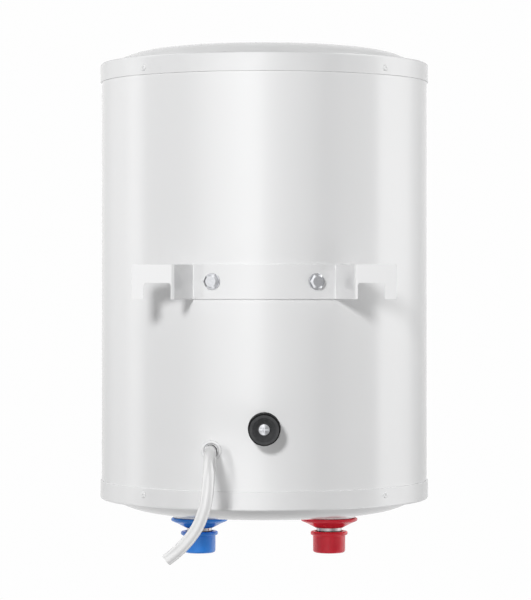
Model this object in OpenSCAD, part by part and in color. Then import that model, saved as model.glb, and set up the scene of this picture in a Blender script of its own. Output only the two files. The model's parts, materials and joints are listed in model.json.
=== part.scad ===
// Small wall-hung storage water heater: an upright cylinder with its pipes at the bottom.
// It is drawn as it hangs: +Z up, +Y towards the wall, and the wall is the plane y = 0.
// The origin is on the wall, midway between the two hooks, at the height where they bear.
// Millimetres throughout.

/* [Case] */
// Outer diameter of the painted steel shell
shell_d = 250; // [246:1:256]
// How far the end covers stand proud of the shell
cover_step = 1; // [0.8:0.1:1.5]
// Sheet thickness of the shell
shell_t = 0.8; // [0.6:0.1:1]
// Height of shell left showing between the two covers
shell_show_h = 304.7; // [302:0.1:308]
// Height of the straight skirt of a cover
skirt_h = 14.2; // [13.5:0.1:16]
// Height of a cover's shouldered dome above its rim
dome_h = 9.8; // [9:0.1:12]
// Extra rise of the dome's middle
crown_h = 2; // [1:0.1:3]
// Wall thickness of a cover's dome
cover_wall = 2; // [1.5:0.1:2.4]

/* [Wall bracket] */
// Gap between the wall and the shell
stand_off = 18; // [16:0.5:22]
// Height of the bracket strip
bracket_h = 25; // [24:1:28]
// Thickness of the bracket strip
bracket_t = 2; // [1.5:0.1:2.5]
// Overall width of the bracket
bracket_w = 189.8; // [186:0.1:196]
// Width of a hook notch
notch_w = 19.4; // [17:0.1:20]
// Depth of a hook notch
notch_depth = 11.7; // [10:0.1:13]
// Angle of each bracket bolt from the middle of the back, in degrees
bolt_angle = 17.3; // [15:0.1:18]

/* [Tank] */
// Outer diameter of the inner tank
tank_d = 212; // [208:1:214]
// Wall thickness of the tank
tank_t = 1.5; // [1.2:0.1:2]
// Height of the tank's straight barrel
barrel_h = 200; // [190:1:202]
// Depth of each dished tank head
head_depth = 30; // [28:1:31]

/* [Pipes] */
// Distance between the cold and the hot pipe
pipe_spacing = 100; // [98:1:102]
// Outside diameter of the G 1/2 thread
thread_d = 20.955; // [20.9:0.005:21]
// Length of the thread
thread_l = 14.8; // [14:0.1:15]
// Bore of each pipe
pipe_bore = 15; // [13:0.5:16]
// Diameter of the coloured dish round each pipe
dish_d = 43.8; // [41:0.1:45]

/* [Supply cord] */
// Diameter of the cord's sheath
cord_d = 8.8; // [8:0.1:9]

/* [Controls] */
// Diameter of the temperature knob
knob_d = 42; // [38:1:46]
// Diameter of the dial plate behind the knob
dial_d = 62; // [60:1:64]

/* [Hidden] */

$fn = 96;
eps = 0.01;
// Gap left between curved faces that lie against each other
skin_gap = 0.05;

white = [0.93, 0.93, 0.93];
zinc = [0.75, 0.76, 0.78];
steel = [0.62, 0.63, 0.65];
black = [0.12, 0.12, 0.13];
blue = [0.20, 0.42, 0.78];
red = [0.78, 0.12, 0.18];
copper = [0.80, 0.48, 0.30];
cream = [0.93, 0.88, 0.72];
grey = [0.45, 0.46, 0.48];

// Case
shell_r = shell_d / 2;
cover_r = shell_r + cover_step;
axis_y = -(stand_off + shell_r);
mid_z = 1.15;
seam_z = shell_show_h / 2;
edge_r = 1.8;
dome_r = cover_r - 10;
dome_power = 8;
dome_steps = 12;
shell_tuck = 12;
cover_screw_angles = [45, 135, 225, 315];
cover_screw_rise = 5;
cover_screw_r = 1.45;
cover_screw_tip_r = 120;
rim_z = seam_z + skirt_h;

// Bracket
notch_x = 67;
notch_fillet = 2;
leg_root_x = 53.4;
bend_r = 2;
tab_x = notch_x - 0.2;
strip_r = shell_r + skin_gap;
bolt_z = 1;
bolt_r = 3;
bolt_hole_r = 3.3;
washer_r = 6;
washer_t = 1;
bolt_head_r = 5.77;
bolt_head_h = 3.2;
bolt_face_r = 3.8;
bolt_chamfer_h = 1.8;
bolt_tip_r = 108;
boss_r = 7;

// Spacer foot
spacer_z = -105.4;
spacer_r = 11.9;
spacer_front_r = 11.5;
spacer_face_r = 10.8;
spacer_edge = 0.8;
spacer_recess_r = 8.5;
spacer_floor_r = 5;
spacer_recess = 4.5;
spacer_screw_r = 2;
spacer_head_r = 4.15;
spacer_head_h = 2.8;

// Cord and gland
gland_x = 38.6;
gland_z = -121.5;
gland_flange_r = 7.5;
gland_barrel_r = 6.3;
gland_bore_r = 5.1;
gland_proud = 1.6;
gland_shoulder_y = 112.5;
gland_inner_y = 92.5;
cord_sides = 10;
cord_route = [
    [39, -30, -122], [39, -22, -122], [39, -14, -122], [39, -6.2, -122.9], [39, 1.2, -125.4],
    [39, 8, -129.5], [39.2, 13.6, -134.9], [39.6, 17.9, -141.4], [40.2, 20.8, -148.7],
    [41.4, 22.2, -156.4], [43.6, 22.4, -164], [46.7, 21.8, -171.6], [51, 20.8, -178.5],
    [56.2, 19.8, -184.9], [62.2, 18.8, -190.8], [69.4, 18, -196.6]
];
lead_start_y = cord_route[0][1];
lead_end_y = axis_y + 76;

// Tank
tank_r = tank_d / 2;
barrel_z0 = -80;
barrel_z1 = barrel_z0 + barrel_h;
head_steps = 12;
foam_z0 = -86;
foam_shoulder_z = 150;
foam_top_z = 164;
foam_top_r = 110;

// Pipes, given by their height below the origin
pipe_x = pipe_spacing / 2;
neck_r = 9.7;
pipe_top_z = -94;
cover_boss_r = 20.3;
cover_boss_z = -181;
dish_lip_z = -182.4;
dish_bottom_z = -188.6;
dish_lip_r = 1.35;
dish_neck_r = 10.8;
thread_z1 = -191.4;
thread_z0 = thread_z1 - thread_l;
cap_top_z = -191.3;
cap_bottom_z = -207.8;
cap_rim_r = 14.3;
cap_rim_h = 2.9;
cap_r = 12.5;
cap_corner_r = 1.8;
cap_bore_r = 11.2;
cap_floor = 1;

// Flange and what it carries, placed from the tank's axis
ring_r = 38;
ring_bore_r = 28;
ring_z1 = -104;
ring_z0 = -114;
gasket_t = 2.5;
plate_t = 4;
plate_z1 = ring_z0 - gasket_t;
plate_z0 = plate_z1 - plate_t;
stud_circle_r = 33;
stud_r = 3;
stud_tip_z = -128;
nut_r = 5.77;
nut_h = 5;
element_x = 10;
element_y = 12;
element_r = 4;
element_top_z = 20;
element_pin_r = 1.6;
element_pin_z = -134;
anode_y = -14;
anode_r = 8;
anode_top_z = 60;
pocket_x = 18;
pocket_y = -10;
pocket_r = 5;
pocket_bore_r = 4.3;
pocket_top_z = -10;
bulb_r = 2;
bulb_x = 2.05;
bulb_l = 70;
capillary_r = 0.75;

// Controls at the front
knob_z = -115;
dial_face = 3.5;
spigot_r = 17;
spigot_face_r = shell_r - 7;
knob_gap = 0.5;
// The pointer rests at the lower left, as seen from the front
knob_rest_angle = 135;
knob_skirt_h = 4;
knob_h = 16;
grip_w = 11;
spindle_r = 3;
running_gap = 0.05;
lens_z = knob_z + 25.5;
lens_r = 3.4;
stat_w = 34;
stat_h = 30;
stat_deep = 26;

// Tray at the back of the wiring space
tray_z1 = -126.5;
tray_t = 1.5;
tray_z0 = tray_z1 - tray_t;
tray_half_w = 46;
tray_y0 = 50;
tray_y1 = 91;
pillar_x = 42;
pillar_y = 58;
pillar_r = 4;
pillar_reach = norm([pillar_x, pillar_y]) - pillar_r;
pillar_top_z = barrel_z0 - head_depth * sqrt(1 - pow(pillar_reach / tank_r, 2)) - 0.3;
wire_r = 1.2;
core_r = 1.4;
block_x = [6, 18, 30];
block_y0 = 56;
block_y1 = 74;
block_h = 16;
entry_z = -137;
entry_r = 1.9;
cutout_x0 = -38;
cutout_x1 = -12;
cutout_y0 = 56;
cutout_y1 = 82;
cutout_h = 18;
button_x = -25;
button_y = 69;
button_r = 2.4;
button_travel = 1.5;
clamp_y0 = 80;
clamp_y1 = 88;
clamp_half_w = 15;
clamp_screw_x = 10;
clamp_bridge = 3;

// ---- Shared shapes ----

// Moves to the tank's axis, at the origin's height
module at_axis() {
    translate([0, axis_y, 0]) children();
}

// Turns +Z to point out of the case, at an angle from the back and a height
module radial(angle, z) {
    at_axis() translate([0, 0, z]) rotate([0, 0, -angle]) rotate([-90, 0, 0]) children();
}

// Turns +Z to point at the wall
module facing_wall(x, y, z) {
    translate([x, y, z]) rotate([-90, 0, 0]) children();
}

// Turns +Z to point out of the front, from the tank's axis
module facing_front(x, z) {
    at_axis() translate([x, 0, z]) rotate([90, 0, 0]) children();
}

module tube(outer_r, inner_r, z0, z1) {
    difference() {
        translate([0, 0, z0]) cylinder(r = outer_r, h = z1 - z0);
        translate([0, 0, z0 - 1]) cylinder(r = inner_r, h = z1 - z0 + 2);
    }
}

function arc_points(centre, r, from, to, steps) =
    [for (k = [0 : steps])
        let (a = from + (to - from) * k / steps)
        centre + r * [cos(a), sin(a)]];
function unit(v) = v / norm(v);
function heading(p, i) = unit(p[min(i + 1, len(p) - 1)] - p[max(i - 1, 0)]);
function ring_points(p, i, r, sides, side_hint) =
    let (
        ahead = heading(p, i),
        across = unit(cross(ahead, side_hint)),
        up = cross(across, ahead)
    )
    [for (k = [0 : sides - 1]) p[i] + r * (cos(360 * k / sides) * across + sin(360 * k / sides) * up)];

// A round tube swept along a list of points. side_hint is never parallel to the route.
module swept_tube(p, r, sides, side_hint) {
    last = (len(p) - 1) * sides;
    polyhedron(
        points = [for (i = [0 : len(p) - 1]) each ring_points(p, i, r, sides, side_hint)],
        faces = concat(
            [[for (k = [sides - 1 : -1 : 0]) k]],
            [for (i = [0 : len(p) - 2], k = [0 : sides - 1])
                let (a = i * sides, b = (k + 1) % sides)
                each [[a + k, a + b, a + sides + k], [a + b, a + sides + b, a + sides + k]]],
            [[for (k = [0 : sides - 1]) last + k]]
        )
    );
}

// ---- Case ----

function dome_z(r, full_r) =
    dome_h * (1 - pow(r / full_r, dome_power)) + crown_h * (1 - pow(r / full_r, 2));
function dome_curve(full_r, base_z) =
    [for (k = [dome_steps : -1 : 0])
        let (r = full_r * pow(k / dome_steps, 0.4))
        [r, base_z + dome_z(r, full_r)]];
function reversed(list) = [for (i = [len(list) - 1 : -1 : 0]) list[i]];

// A cover with its seam at z = 0 and its dome upwards
module cover_shape() {
    corner = [for (a = [0 : 15 : 90])
        [cover_r - edge_r + edge_r * cos(a), skirt_h - edge_r + edge_r * sin(a)]];
    inner_r = dome_r - cover_wall;
    inner = reversed(dome_curve(inner_r, skirt_h - cover_wall));
    rotate_extrude()
        polygon(concat([[cover_r, 0]], corner, dome_curve(dome_r, skirt_h), inner,
            [[shell_r + skin_gap, skirt_h - cover_wall], [shell_r + skin_gap, 0]]));
}

// The four radial screw holes of a cover, at a height from the middle of the case
module cover_screw_holes(z) {
    for (a = cover_screw_angles)
        radial(a, mid_z + z) translate([0, 0, shell_r - 5]) cylinder(r = cover_screw_r + 0.1, h = 12);
}

module cover_screw_set(z) {
    for (a = cover_screw_angles)
        radial(a, mid_z + z) {
            translate([0, 0, cover_screw_tip_r])
                cylinder(r = cover_screw_r, h = cover_r - cover_screw_tip_r);
            difference() {
                translate([0, 0, cover_r]) cylinder(r1 = 2.4, r2 = 1.8, h = 0.9);
                for (turn = [0, 90])
                    rotate([0, 0, turn]) translate([-1.2, -0.25, cover_r + 0.4]) cube([2.4, 0.5, 1]);
            }
        }
}

// The hole of a bracket bolt through the shell and the strip
module bracket_bolt_hole(side) {
    radial(side * bolt_angle, bolt_z) translate([0, 0, shell_r - 5]) cylinder(r = bolt_hole_r, h = 12);
}

module outer_shell() {
    color(white)
    difference() {
        at_axis() translate([0, 0, mid_z])
            tube(shell_r, shell_r - shell_t, -seam_z - shell_tuck, seam_z + shell_tuck);
        cover_screw_holes(seam_z + cover_screw_rise);
        cover_screw_holes(-seam_z - cover_screw_rise);
        for (side = [-1, 1])
            bracket_bolt_hole(side);
        facing_wall(0, -stand_off - 5, spacer_z) cylinder(r = spacer_screw_r + 0.1, h = 10);
        facing_wall(gland_x, -stand_off - 20, gland_z) cylinder(r = gland_barrel_r + 0.1, h = 20);
        facing_front(0, knob_z) cylinder(r = spigot_r + 0.2, h = shell_r + 5);
        facing_front(0, lens_z) cylinder(r = lens_r + 0.2, h = shell_r + 5);
    }
}

module top_cover() {
    color(white)
    difference() {
        at_axis() translate([0, 0, mid_z + seam_z]) cover_shape();
        cover_screw_holes(seam_z + cover_screw_rise);
    }
}

module bottom_cover() {
    color(white)
    difference() {
        at_axis() {
            translate([0, 0, mid_z - seam_z]) mirror([0, 0, 1]) cover_shape();
            for (side = [-1, 1])
                translate([side * pipe_x, 0, cover_boss_z])
                    cylinder(r = cover_boss_r, h = mid_z - rim_z - dome_h - cover_boss_z);
        }
        cover_screw_holes(-seam_z - cover_screw_rise);
        for (side = [-1, 1])
            at_axis() translate([side * pipe_x, 0, cover_boss_z - 1]) cylinder(r = neck_r + 0.3, h = 20);
    }
}

module top_cover_screws() {
    color(white) cover_screw_set(seam_z + cover_screw_rise);
}

module bottom_cover_screws() {
    color(white) cover_screw_set(-seam_z - cover_screw_rise);
}

// ---- Wall bracket ----

// The notch a wall hook passes up through, open at the bottom and filleted at the top
module hook_notch() {
    left = notch_x + notch_fillet;
    right = notch_x + notch_w - notch_fillet;
    translate([0, 1, 0]) rotate([90, 0, 0]) linear_extrude(bracket_t + 2)
        polygon(concat(
            [[notch_x, -notch_depth - 1]],
            arc_points([left, -notch_fillet], notch_fillet, 180, 90, 6),
            arc_points([right, -notch_fillet], notch_fillet, 90, 0, 6),
            [[notch_x + notch_w, -notch_depth - 1]]
        ));
}

// The edge of the bent strip from the middle of its back to one end, seen from above.
// It runs along the shell, bends out to the wall and bends again into a flat tab.
// side is 1 for the face towards the wall and -1 for the face towards the shell.
function strip_edge(side) =
    let (
        half_t = side * bracket_t / 2,
        mid_r = strip_r + bracket_t / 2,
        root_angle = asin((leg_root_x - bend_r) / (mid_r + bend_r)),
        root = [0, axis_y] + (mid_r + bend_r) * [sin(root_angle), cos(root_angle)],
        tip = [tab_x, -bracket_t / 2 - bend_r],
        run = tip - root,
        slope = atan2(run[1], run[0]) + asin(2 * bend_r / norm(run))
    )
    concat(
        arc_points([0, axis_y], mid_r + half_t, 90, 90 - root_angle, 16),
        arc_points(root, bend_r - half_t, 270 - root_angle, 270 + slope, 6),
        arc_points(tip, bend_r + half_t, 90 + slope, 90, 6),
        [[bracket_w / 2, half_t - bracket_t / 2]]
    );
function mirrored_x(list) = [for (p = list) [-p[0], p[1]]];
function without_first(list) = [for (i = [1 : len(list) - 1]) list[i]];

module wall_bracket() {
    wall_side = strip_edge(1);
    shell_side = strip_edge(-1);
    color(white)
    difference() {
        translate([0, 0, -notch_depth]) linear_extrude(bracket_h)
            polygon(concat(
                reversed(mirrored_x(wall_side)), without_first(wall_side),
                reversed(shell_side), without_first(mirrored_x(shell_side))
            ));
        for (side = [0, 1])
            mirror([side, 0, 0]) hook_notch();
        for (side = [-1, 1])
            bracket_bolt_hole(side);
    }
}

module bracket_washers() {
    seat = strip_r + bracket_t;
    color(zinc)
    for (side = [-1, 1])
        radial(side * bolt_angle, bolt_z) tube(washer_r, bolt_r + 0.2, seat, seat + washer_t);
}

module bracket_bolts() {
    seat = strip_r + bracket_t + washer_t;
    color(zinc)
    for (side = [-1, 1])
        radial(side * bolt_angle, bolt_z) {
            translate([0, 0, bolt_tip_r]) cylinder(r = bolt_r, h = seat - bolt_tip_r + eps);
            translate([0, 0, seat])
            intersection() {
                cylinder(r = bolt_head_r, h = bolt_head_h, $fn = 6);
                rotate_extrude()
                    polygon([
                        [0, -1], [bolt_head_r + 1, -1],
                        [bolt_head_r + 1, bolt_head_h - bolt_chamfer_h], [bolt_face_r, bolt_head_h], [0, bolt_head_h]
                    ]);
            }
        }
}

// Threaded bushes welded to the tank, which the bracket bolts screw into
module bracket_bosses() {
    color(steel)
    for (side = [-1, 1])
        radial(side * bolt_angle, bolt_z)
            tube(boss_r, bolt_r + skin_gap, tank_r + skin_gap, shell_r - shell_t - 0.3);
}

// ---- Spacer foot ----

module wall_spacer() {
    color(black)
    difference() {
        union() {
            facing_wall(0, -stand_off - 2, spacer_z)
                cylinder(r1 = spacer_r, r2 = spacer_front_r, h = stand_off + 2 - spacer_edge);
            facing_wall(0, -spacer_edge - eps, spacer_z)
                cylinder(r1 = spacer_front_r, r2 = spacer_face_r, h = spacer_edge + eps);
        }
        at_axis() translate([0, 0, spacer_z - 20]) cylinder(r = shell_r + skin_gap, h = 40);
        facing_wall(0, -spacer_recess, spacer_z)
            cylinder(r1 = spacer_floor_r, r2 = spacer_recess_r, h = spacer_recess + eps);
        facing_wall(0, -stand_off - 5, spacer_z) cylinder(r = spacer_screw_r + 0.1, h = stand_off + 5);
    }
}

module spacer_screw() {
    color(zinc)
    difference() {
        facing_wall(0, -spacer_recess, spacer_z) {
            translate([0, 0, -stand_off - 2]) cylinder(r = spacer_screw_r, h = stand_off + 2 + eps);
            cylinder(r1 = spacer_head_r, r2 = spacer_head_r - 1, h = spacer_head_h);
        }
        for (turn = [0, 90])
            facing_wall(0, -spacer_recess + 1.2, spacer_z) rotate([0, 0, turn])
                translate([-2.2, -0.45, 0]) cube([4.4, 0.9, 3]);
    }
}

// ---- Supply cord ----

// A snap-in bush: a flange moulded to the curved shell, and a tapered barrel inside
module cord_gland() {
    shoulder_y = axis_y + gland_shoulder_y;
    inner_y = axis_y + gland_inner_y;
    color(white)
    difference() {
        union() {
            intersection() {
                facing_wall(gland_x, -stand_off - 20, gland_z) cylinder(r = gland_flange_r, h = 20);
                at_axis()
                    tube(shell_r + gland_proud, shell_r + skin_gap, gland_z - 10, gland_z + 10);
            }
            intersection() {
                facing_wall(gland_x, shoulder_y, gland_z) cylinder(r = gland_barrel_r, h = 20);
                at_axis() translate([0, 0, gland_z - 10]) cylinder(r = shell_r + 1, h = 20);
            }
            facing_wall(gland_x, shoulder_y - 2, gland_z) cylinder(r = gland_barrel_r + 0.9, h = 2 + eps);
            facing_wall(gland_x, inner_y, gland_z)
                cylinder(r1 = 5.7, r2 = 6.6, h = shoulder_y - 2 - inner_y + eps);
        }
        facing_wall(gland_x, inner_y - 1, gland_z) cylinder(r = gland_bore_r, h = 40);
    }
}

module power_cord() {
    color(white) swept_tube(cord_route, cord_d / 2, cord_sides, [1, 0.4, 0.9]);
}

// The stretch of the same cord inside the case, up to where its sheath is stripped
module sheathed_lead() {
    color(white)
    facing_wall(cord_route[0][0], lead_end_y, cord_route[0][2])
        cylinder(r = cord_d / 2, h = lead_start_y - lead_end_y);
}

module at_clamp_screws() {
    for (side = [-1, 1])
        at_axis() translate([gland_x + side * clamp_screw_x, (clamp_y0 + clamp_y1) / 2, 0]) children();
}

function clamp_top_z() = cord_route[0][2] + cord_d / 2 + clamp_bridge;

module cord_clamp() {
    color(black)
    difference() {
        translate([gland_x - clamp_half_w, axis_y + clamp_y0, tray_z1])
            cube([2 * clamp_half_w, clamp_y1 - clamp_y0, clamp_top_z() - tray_z1]);
        facing_wall(cord_route[0][0], axis_y + clamp_y0 - 1, cord_route[0][2])
            cylinder(r = cord_d / 2 + skin_gap, h = clamp_y1 - clamp_y0 + 2);
        translate([cord_route[0][0] - cord_d / 2 - skin_gap, axis_y + clamp_y0 - 1, tray_z1 - 1])
            cube([cord_d + 2 * skin_gap, clamp_y1 - clamp_y0 + 2, cord_route[0][2] - tray_z1 + 1]);
        at_clamp_screws() translate([0, 0, tray_z1 - 1]) cylinder(r = 1.7, h = 30);
    }
}

module cord_clamp_screws() {
    top = clamp_top_z();
    color(zinc)
    at_clamp_screws() {
        translate([0, 0, tray_z0 - 2]) cylinder(r = 1.6, h = top - tray_z0 + 2 + eps);
        difference() {
            translate([0, 0, top]) cylinder(r1 = 3, r2 = 2.4, h = 2);
            translate([-2, -0.4, top + 1]) cube([4, 0.8, 2]);
        }
    }
}

// ---- Pipes ----

// Coloured dish under the bottom cover, with a beaded lip
module pipe_dish() {
    neck = neck_r + 0.3;
    wall = 1.4;
    lip = [dish_d / 2 - dish_lip_r, dish_lip_z];
    at_axis() translate([pipe_x, 0, 0]) rotate_extrude()
        polygon(concat(
            [[neck, dish_bottom_z], [dish_neck_r, dish_bottom_z]],
            arc_points(lip, dish_lip_r, -70, 150, 8),
            [[lip[0] - 2 * dish_lip_r, dish_lip_z - dish_lip_r / 2]],
            [[dish_neck_r + wall / 2, dish_bottom_z + wall], [neck, dish_bottom_z + wall]]
        ));
}

module cold_dish() {
    color(blue) pipe_dish();
}

module hot_dish() {
    color(red) mirror([1, 0, 0]) pipe_dish();
}

// A pipe welded into the bottom head, ending in the threaded stub
module pipe_nipple() {
    color(steel)
    at_axis() translate([pipe_x, 0, 0])
    difference() {
        union() {
            translate([0, 0, thread_z0]) cylinder(r = neck_r, h = pipe_top_z - thread_z0);
            translate([0, 0, thread_z0]) cylinder(r = thread_d / 2, h = thread_l);
        }
        translate([0, 0, thread_z0 - 1]) cylinder(r = pipe_bore / 2, h = pipe_top_z - thread_z0 + 2);
    }
}

module cold_nipple() {
    pipe_nipple();
}

module hot_nipple() {
    mirror([1, 0, 0]) pipe_nipple();
}

// Push-on cap that guards a thread in transport
module thread_cap() {
    corner = [cap_r - cap_corner_r, cap_bottom_z + cap_corner_r];
    rim_z0 = cap_top_z - cap_rim_h;
    bead = [cap_rim_r - cap_rim_h / 2, rim_z0 + cap_rim_h / 2];
    at_axis() translate([pipe_x, 0, 0]) rotate_extrude()
        polygon(concat(
            [[0, cap_bottom_z]],
            arc_points(corner, cap_corner_r, -90, 0, 6),
            [[cap_r, rim_z0 - 0.6], [cap_rim_r - 1, rim_z0]],
            arc_points(bead, cap_rim_h / 2, -60, 60, 4),
            [[cap_rim_r - 1, cap_top_z], [cap_bore_r, cap_top_z]],
            [[cap_bore_r, cap_bottom_z + cap_floor], [0, cap_bottom_z + cap_floor]]
        ));
}

module cold_thread_cap() {
    color(blue) thread_cap();
}

module hot_thread_cap() {
    color(red) mirror([1, 0, 0]) thread_cap();
}

// Slotted plastic cap that spreads the cold water over the tank's floor
module inlet_diffuser() {
    color(white)
    at_axis() translate([pipe_x, 0, 0])
    difference() {
        translate([0, 0, pipe_top_z - 6]) cylinder(r = neck_r + 2.3, h = 26);
        translate([0, 0, pipe_top_z - 7]) cylinder(r = neck_r + skin_gap, h = 24);
        for (turn = [0 : 45 : 135])
            rotate([0, 0, turn]) translate([-20, -1.5, pipe_top_z + 4]) cube([40, 3, 10]);
    }
}

module outlet_tube() {
    color(steel)
    at_axis() translate([-pipe_x, 0, 0])
        tube(pipe_bore / 2 - skin_gap, pipe_bore / 2 - 1.2, pipe_top_z - 16, barrel_z1 + 8);
}

// ---- Tank ----

// Half ellipse from its rim to its pole, above base_z
function head_curve(r, depth, base_z) =
    [for (k = [0 : head_steps]) let (a = 90 * k / head_steps) [r * cos(a), base_z + depth * sin(a)]];

// A dished head with its rim at z = 0 and its pole upwards
module head_shape() {
    rotate_extrude()
        polygon(concat(
            head_curve(tank_r, head_depth, 0),
            reversed(head_curve(tank_r - tank_t, head_depth - tank_t, 0))
        ));
}

module tank_barrel() {
    color(steel) at_axis() tube(tank_r, tank_r - tank_t, barrel_z0, barrel_z1);
}

module tank_top_head() {
    color(steel) at_axis() translate([0, 0, barrel_z1]) head_shape();
}

module tank_bottom_head() {
    color(steel)
    at_axis()
    difference() {
        translate([0, 0, barrel_z0]) mirror([0, 0, 1]) head_shape();
        translate([0, 0, barrel_z0 - head_depth - 1]) cylinder(r = ring_r + skin_gap, h = head_depth);
        for (side = [-1, 1])
            translate([side * pipe_x, 0, barrel_z0 - head_depth - 1])
                cylinder(r = neck_r + skin_gap, h = head_depth);
    }
}

module foam_jacket() {
    inner_r = tank_r + skin_gap;
    outer_r = shell_r - shell_t - skin_gap;
    color(cream)
    difference() {
        at_axis() rotate_extrude()
            polygon(concat(
                [[inner_r, foam_z0]],
                head_curve(inner_r, head_depth + skin_gap, barrel_z1),
                [[0, foam_top_z], [foam_top_r, foam_top_z], [outer_r, foam_shoulder_z], [outer_r, foam_z0]]
            ));
        for (side = [-1, 1])
            radial(side * bolt_angle, bolt_z)
                translate([0, 0, tank_r - 2]) cylinder(r = boss_r + skin_gap, h = 30);
    }
}

// ---- Flange ----

module at_studs() {
    at_axis()
    for (a = [30 : 60 : 330])
        rotate([0, 0, a]) translate([stud_circle_r, 0, 0]) children();
}

module flange_ring() {
    color(steel) at_axis() tube(ring_r, ring_bore_r, ring_z0, ring_z1);
}

module flange_studs() {
    color(zinc) at_studs() translate([0, 0, stud_tip_z]) cylinder(r = stud_r, h = ring_z0 - stud_tip_z);
}

module flange_gasket() {
    color(black)
    difference() {
        at_axis() tube(ring_r, ring_bore_r - 1, plate_z1, ring_z0);
        at_studs() translate([0, 0, plate_z1 - 1]) cylinder(r = stud_r + 0.2, h = gasket_t + 2);
    }
}

module flange_plate() {
    color(zinc)
    difference() {
        at_axis() translate([0, 0, plate_z0]) cylinder(r = ring_r, h = plate_t);
        at_studs() translate([0, 0, plate_z0 - 1]) cylinder(r = stud_r + 0.3, h = plate_t + 2);
        at_axis() translate([0, 0, plate_z0 - 1]) {
            for (side = [-1, 1])
                translate([side * element_x, element_y, 0])
                    cylinder(r = element_r + skin_gap, h = plate_t + 2);
            translate([0, anode_y, 0]) cylinder(r = 3.1, h = plate_t + 2);
            translate([pocket_x, pocket_y, 0]) cylinder(r = pocket_r + skin_gap, h = plate_t + 2);
        }
    }
}

module flange_nuts() {
    color(zinc)
    at_studs()
    difference() {
        translate([0, 0, plate_z0 - nut_h]) cylinder(r = nut_r, h = nut_h, $fn = 6);
        translate([0, 0, plate_z0 - nut_h - 1]) cylinder(r = stud_r + skin_gap, h = nut_h + 2);
    }
}

module heating_element() {
    bottom = plate_z0 - 3;
    color(copper)
    at_axis() translate([0, element_y, 0]) {
        for (side = [-1, 1])
            translate([side * element_x, 0, 0]) {
                translate([0, 0, bottom]) cylinder(r = element_r, h = element_top_z - bottom);
                translate([0, 0, element_pin_z])
                    cylinder(r = element_pin_r, h = bottom - element_pin_z + 1);
            }
        translate([0, 0, element_top_z]) rotate([90, 0, 0])
            rotate_extrude(angle = 180) translate([element_x, 0]) circle(r = element_r);
    }
}

module anode_rod() {
    color(grey)
    at_axis() translate([0, anode_y, 0]) {
        translate([0, 0, plate_z1 + 4]) cylinder(r = anode_r, h = anode_top_z - plate_z1 - 4);
        translate([0, 0, plate_z0 - 8]) cylinder(r = 3, h = plate_t + 12 + eps);
        difference() {
            translate([0, 0, plate_z0 - nut_h]) cylinder(r = nut_r, h = nut_h, $fn = 6);
            translate([0, 0, plate_z0 - nut_h - 1]) cylinder(r = 2.9, h = nut_h + 2);
        }
    }
}

// Closed tube in the water, which the two bulbs slide into from below
module sensor_pocket() {
    color(copper)
    at_axis() translate([pocket_x, pocket_y, 0])
    difference() {
        translate([0, 0, plate_z0 - 1]) cylinder(r = pocket_r, h = pocket_top_z - plate_z0 + 1);
        translate([0, 0, plate_z0 - 2]) cylinder(r = pocket_bore_r, h = pocket_top_z - plate_z0);
    }
}

// ---- Thermostat and dial, at the front ----

// A curved plate on the shell with a flat face, and a spigot through to the thermostat
module dial_plate() {
    face_r = shell_r + dial_face;
    color(white)
    difference() {
        union() {
            difference() {
                facing_front(0, knob_z) translate([0, 0, shell_r - 8])
                    cylinder(r = dial_d / 2, h = face_r - shell_r + 8);
                at_axis() translate([0, 0, knob_z - 50]) cylinder(r = shell_r + skin_gap, h = 100);
            }
            facing_front(0, knob_z) translate([0, 0, spigot_face_r])
                cylinder(r = spigot_r, h = face_r - spigot_face_r);
        }
        facing_front(0, knob_z) cylinder(r = spindle_r + 1, h = face_r + 1);
        facing_front(0, lens_z) cylinder(r = lens_r + skin_gap, h = face_r + 1);
        for (x = [-11, 11])
            facing_front(x, knob_z) cylinder(r = 1.7, h = face_r + 1);
        for (x = [-11, 11])
            facing_front(x, knob_z) translate([0, 0, face_r - 2]) cylinder(r = 3.2, h = 3);
    }
}

module thermostat_body() {
    color(cream)
    difference() {
        facing_front(0, knob_z) translate([-stat_w / 2, -stat_h / 2, spigot_face_r - stat_deep])
            cube([stat_w, stat_h, stat_deep]);
        facing_front(0, knob_z) translate([0, 0, spigot_face_r - 6.5])
            cylinder(r = spindle_r + running_gap, h = 10);
        for (x = [-11, 11])
            facing_front(x, knob_z) translate([0, 0, spigot_face_r - 8]) cylinder(r = 1.55, h = 10);
    }
}

module thermostat_screws() {
    head_z = shell_r + dial_face - 2;
    color(zinc)
    for (x = [-11, 11])
        facing_front(x, knob_z) {
            translate([0, 0, spigot_face_r - 7]) cylinder(r = 1.5, h = head_z - spigot_face_r + 7 + eps);
            difference() {
                translate([0, 0, head_z]) cylinder(r1 = 3, r2 = 2.6, h = 1.8);
                translate([-2.2, -0.4, head_z + 0.9]) cube([4.4, 0.8, 2]);
            }
        }
}

module thermostat_spindle() {
    start = spigot_face_r - 6;
    tip = shell_r + dial_face + 12;
    color(zinc)
    facing_front(0, knob_z) translate([0, 0, start]) cylinder(r = spindle_r, h = tip - start);
}

// A skirted knob with a grip across it, and a groove at its pointer end
module temperature_knob() {
    base = shell_r + dial_face + knob_gap;
    color(white)
    facing_front(0, knob_z) translate([0, 0, base]) rotate([0, 0, knob_rest_angle])
    difference() {
        union() {
            cylinder(r1 = knob_d / 2, r2 = knob_d / 2 - 1.5, h = knob_skirt_h);
            intersection() {
                cylinder(r1 = knob_d / 2 - 1.5, r2 = knob_d / 2 - 4, h = knob_h);
                translate([-grip_w / 2, -knob_d / 2, 0]) cube([grip_w, knob_d, knob_h]);
            }
        }
        translate([0, 0, -1]) cylinder(r = spindle_r, h = 13 - knob_gap);
        translate([-0.6, knob_d / 2 - 12, knob_h - 0.8]) cube([1.2, 12, 1]);
    }
}

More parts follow.
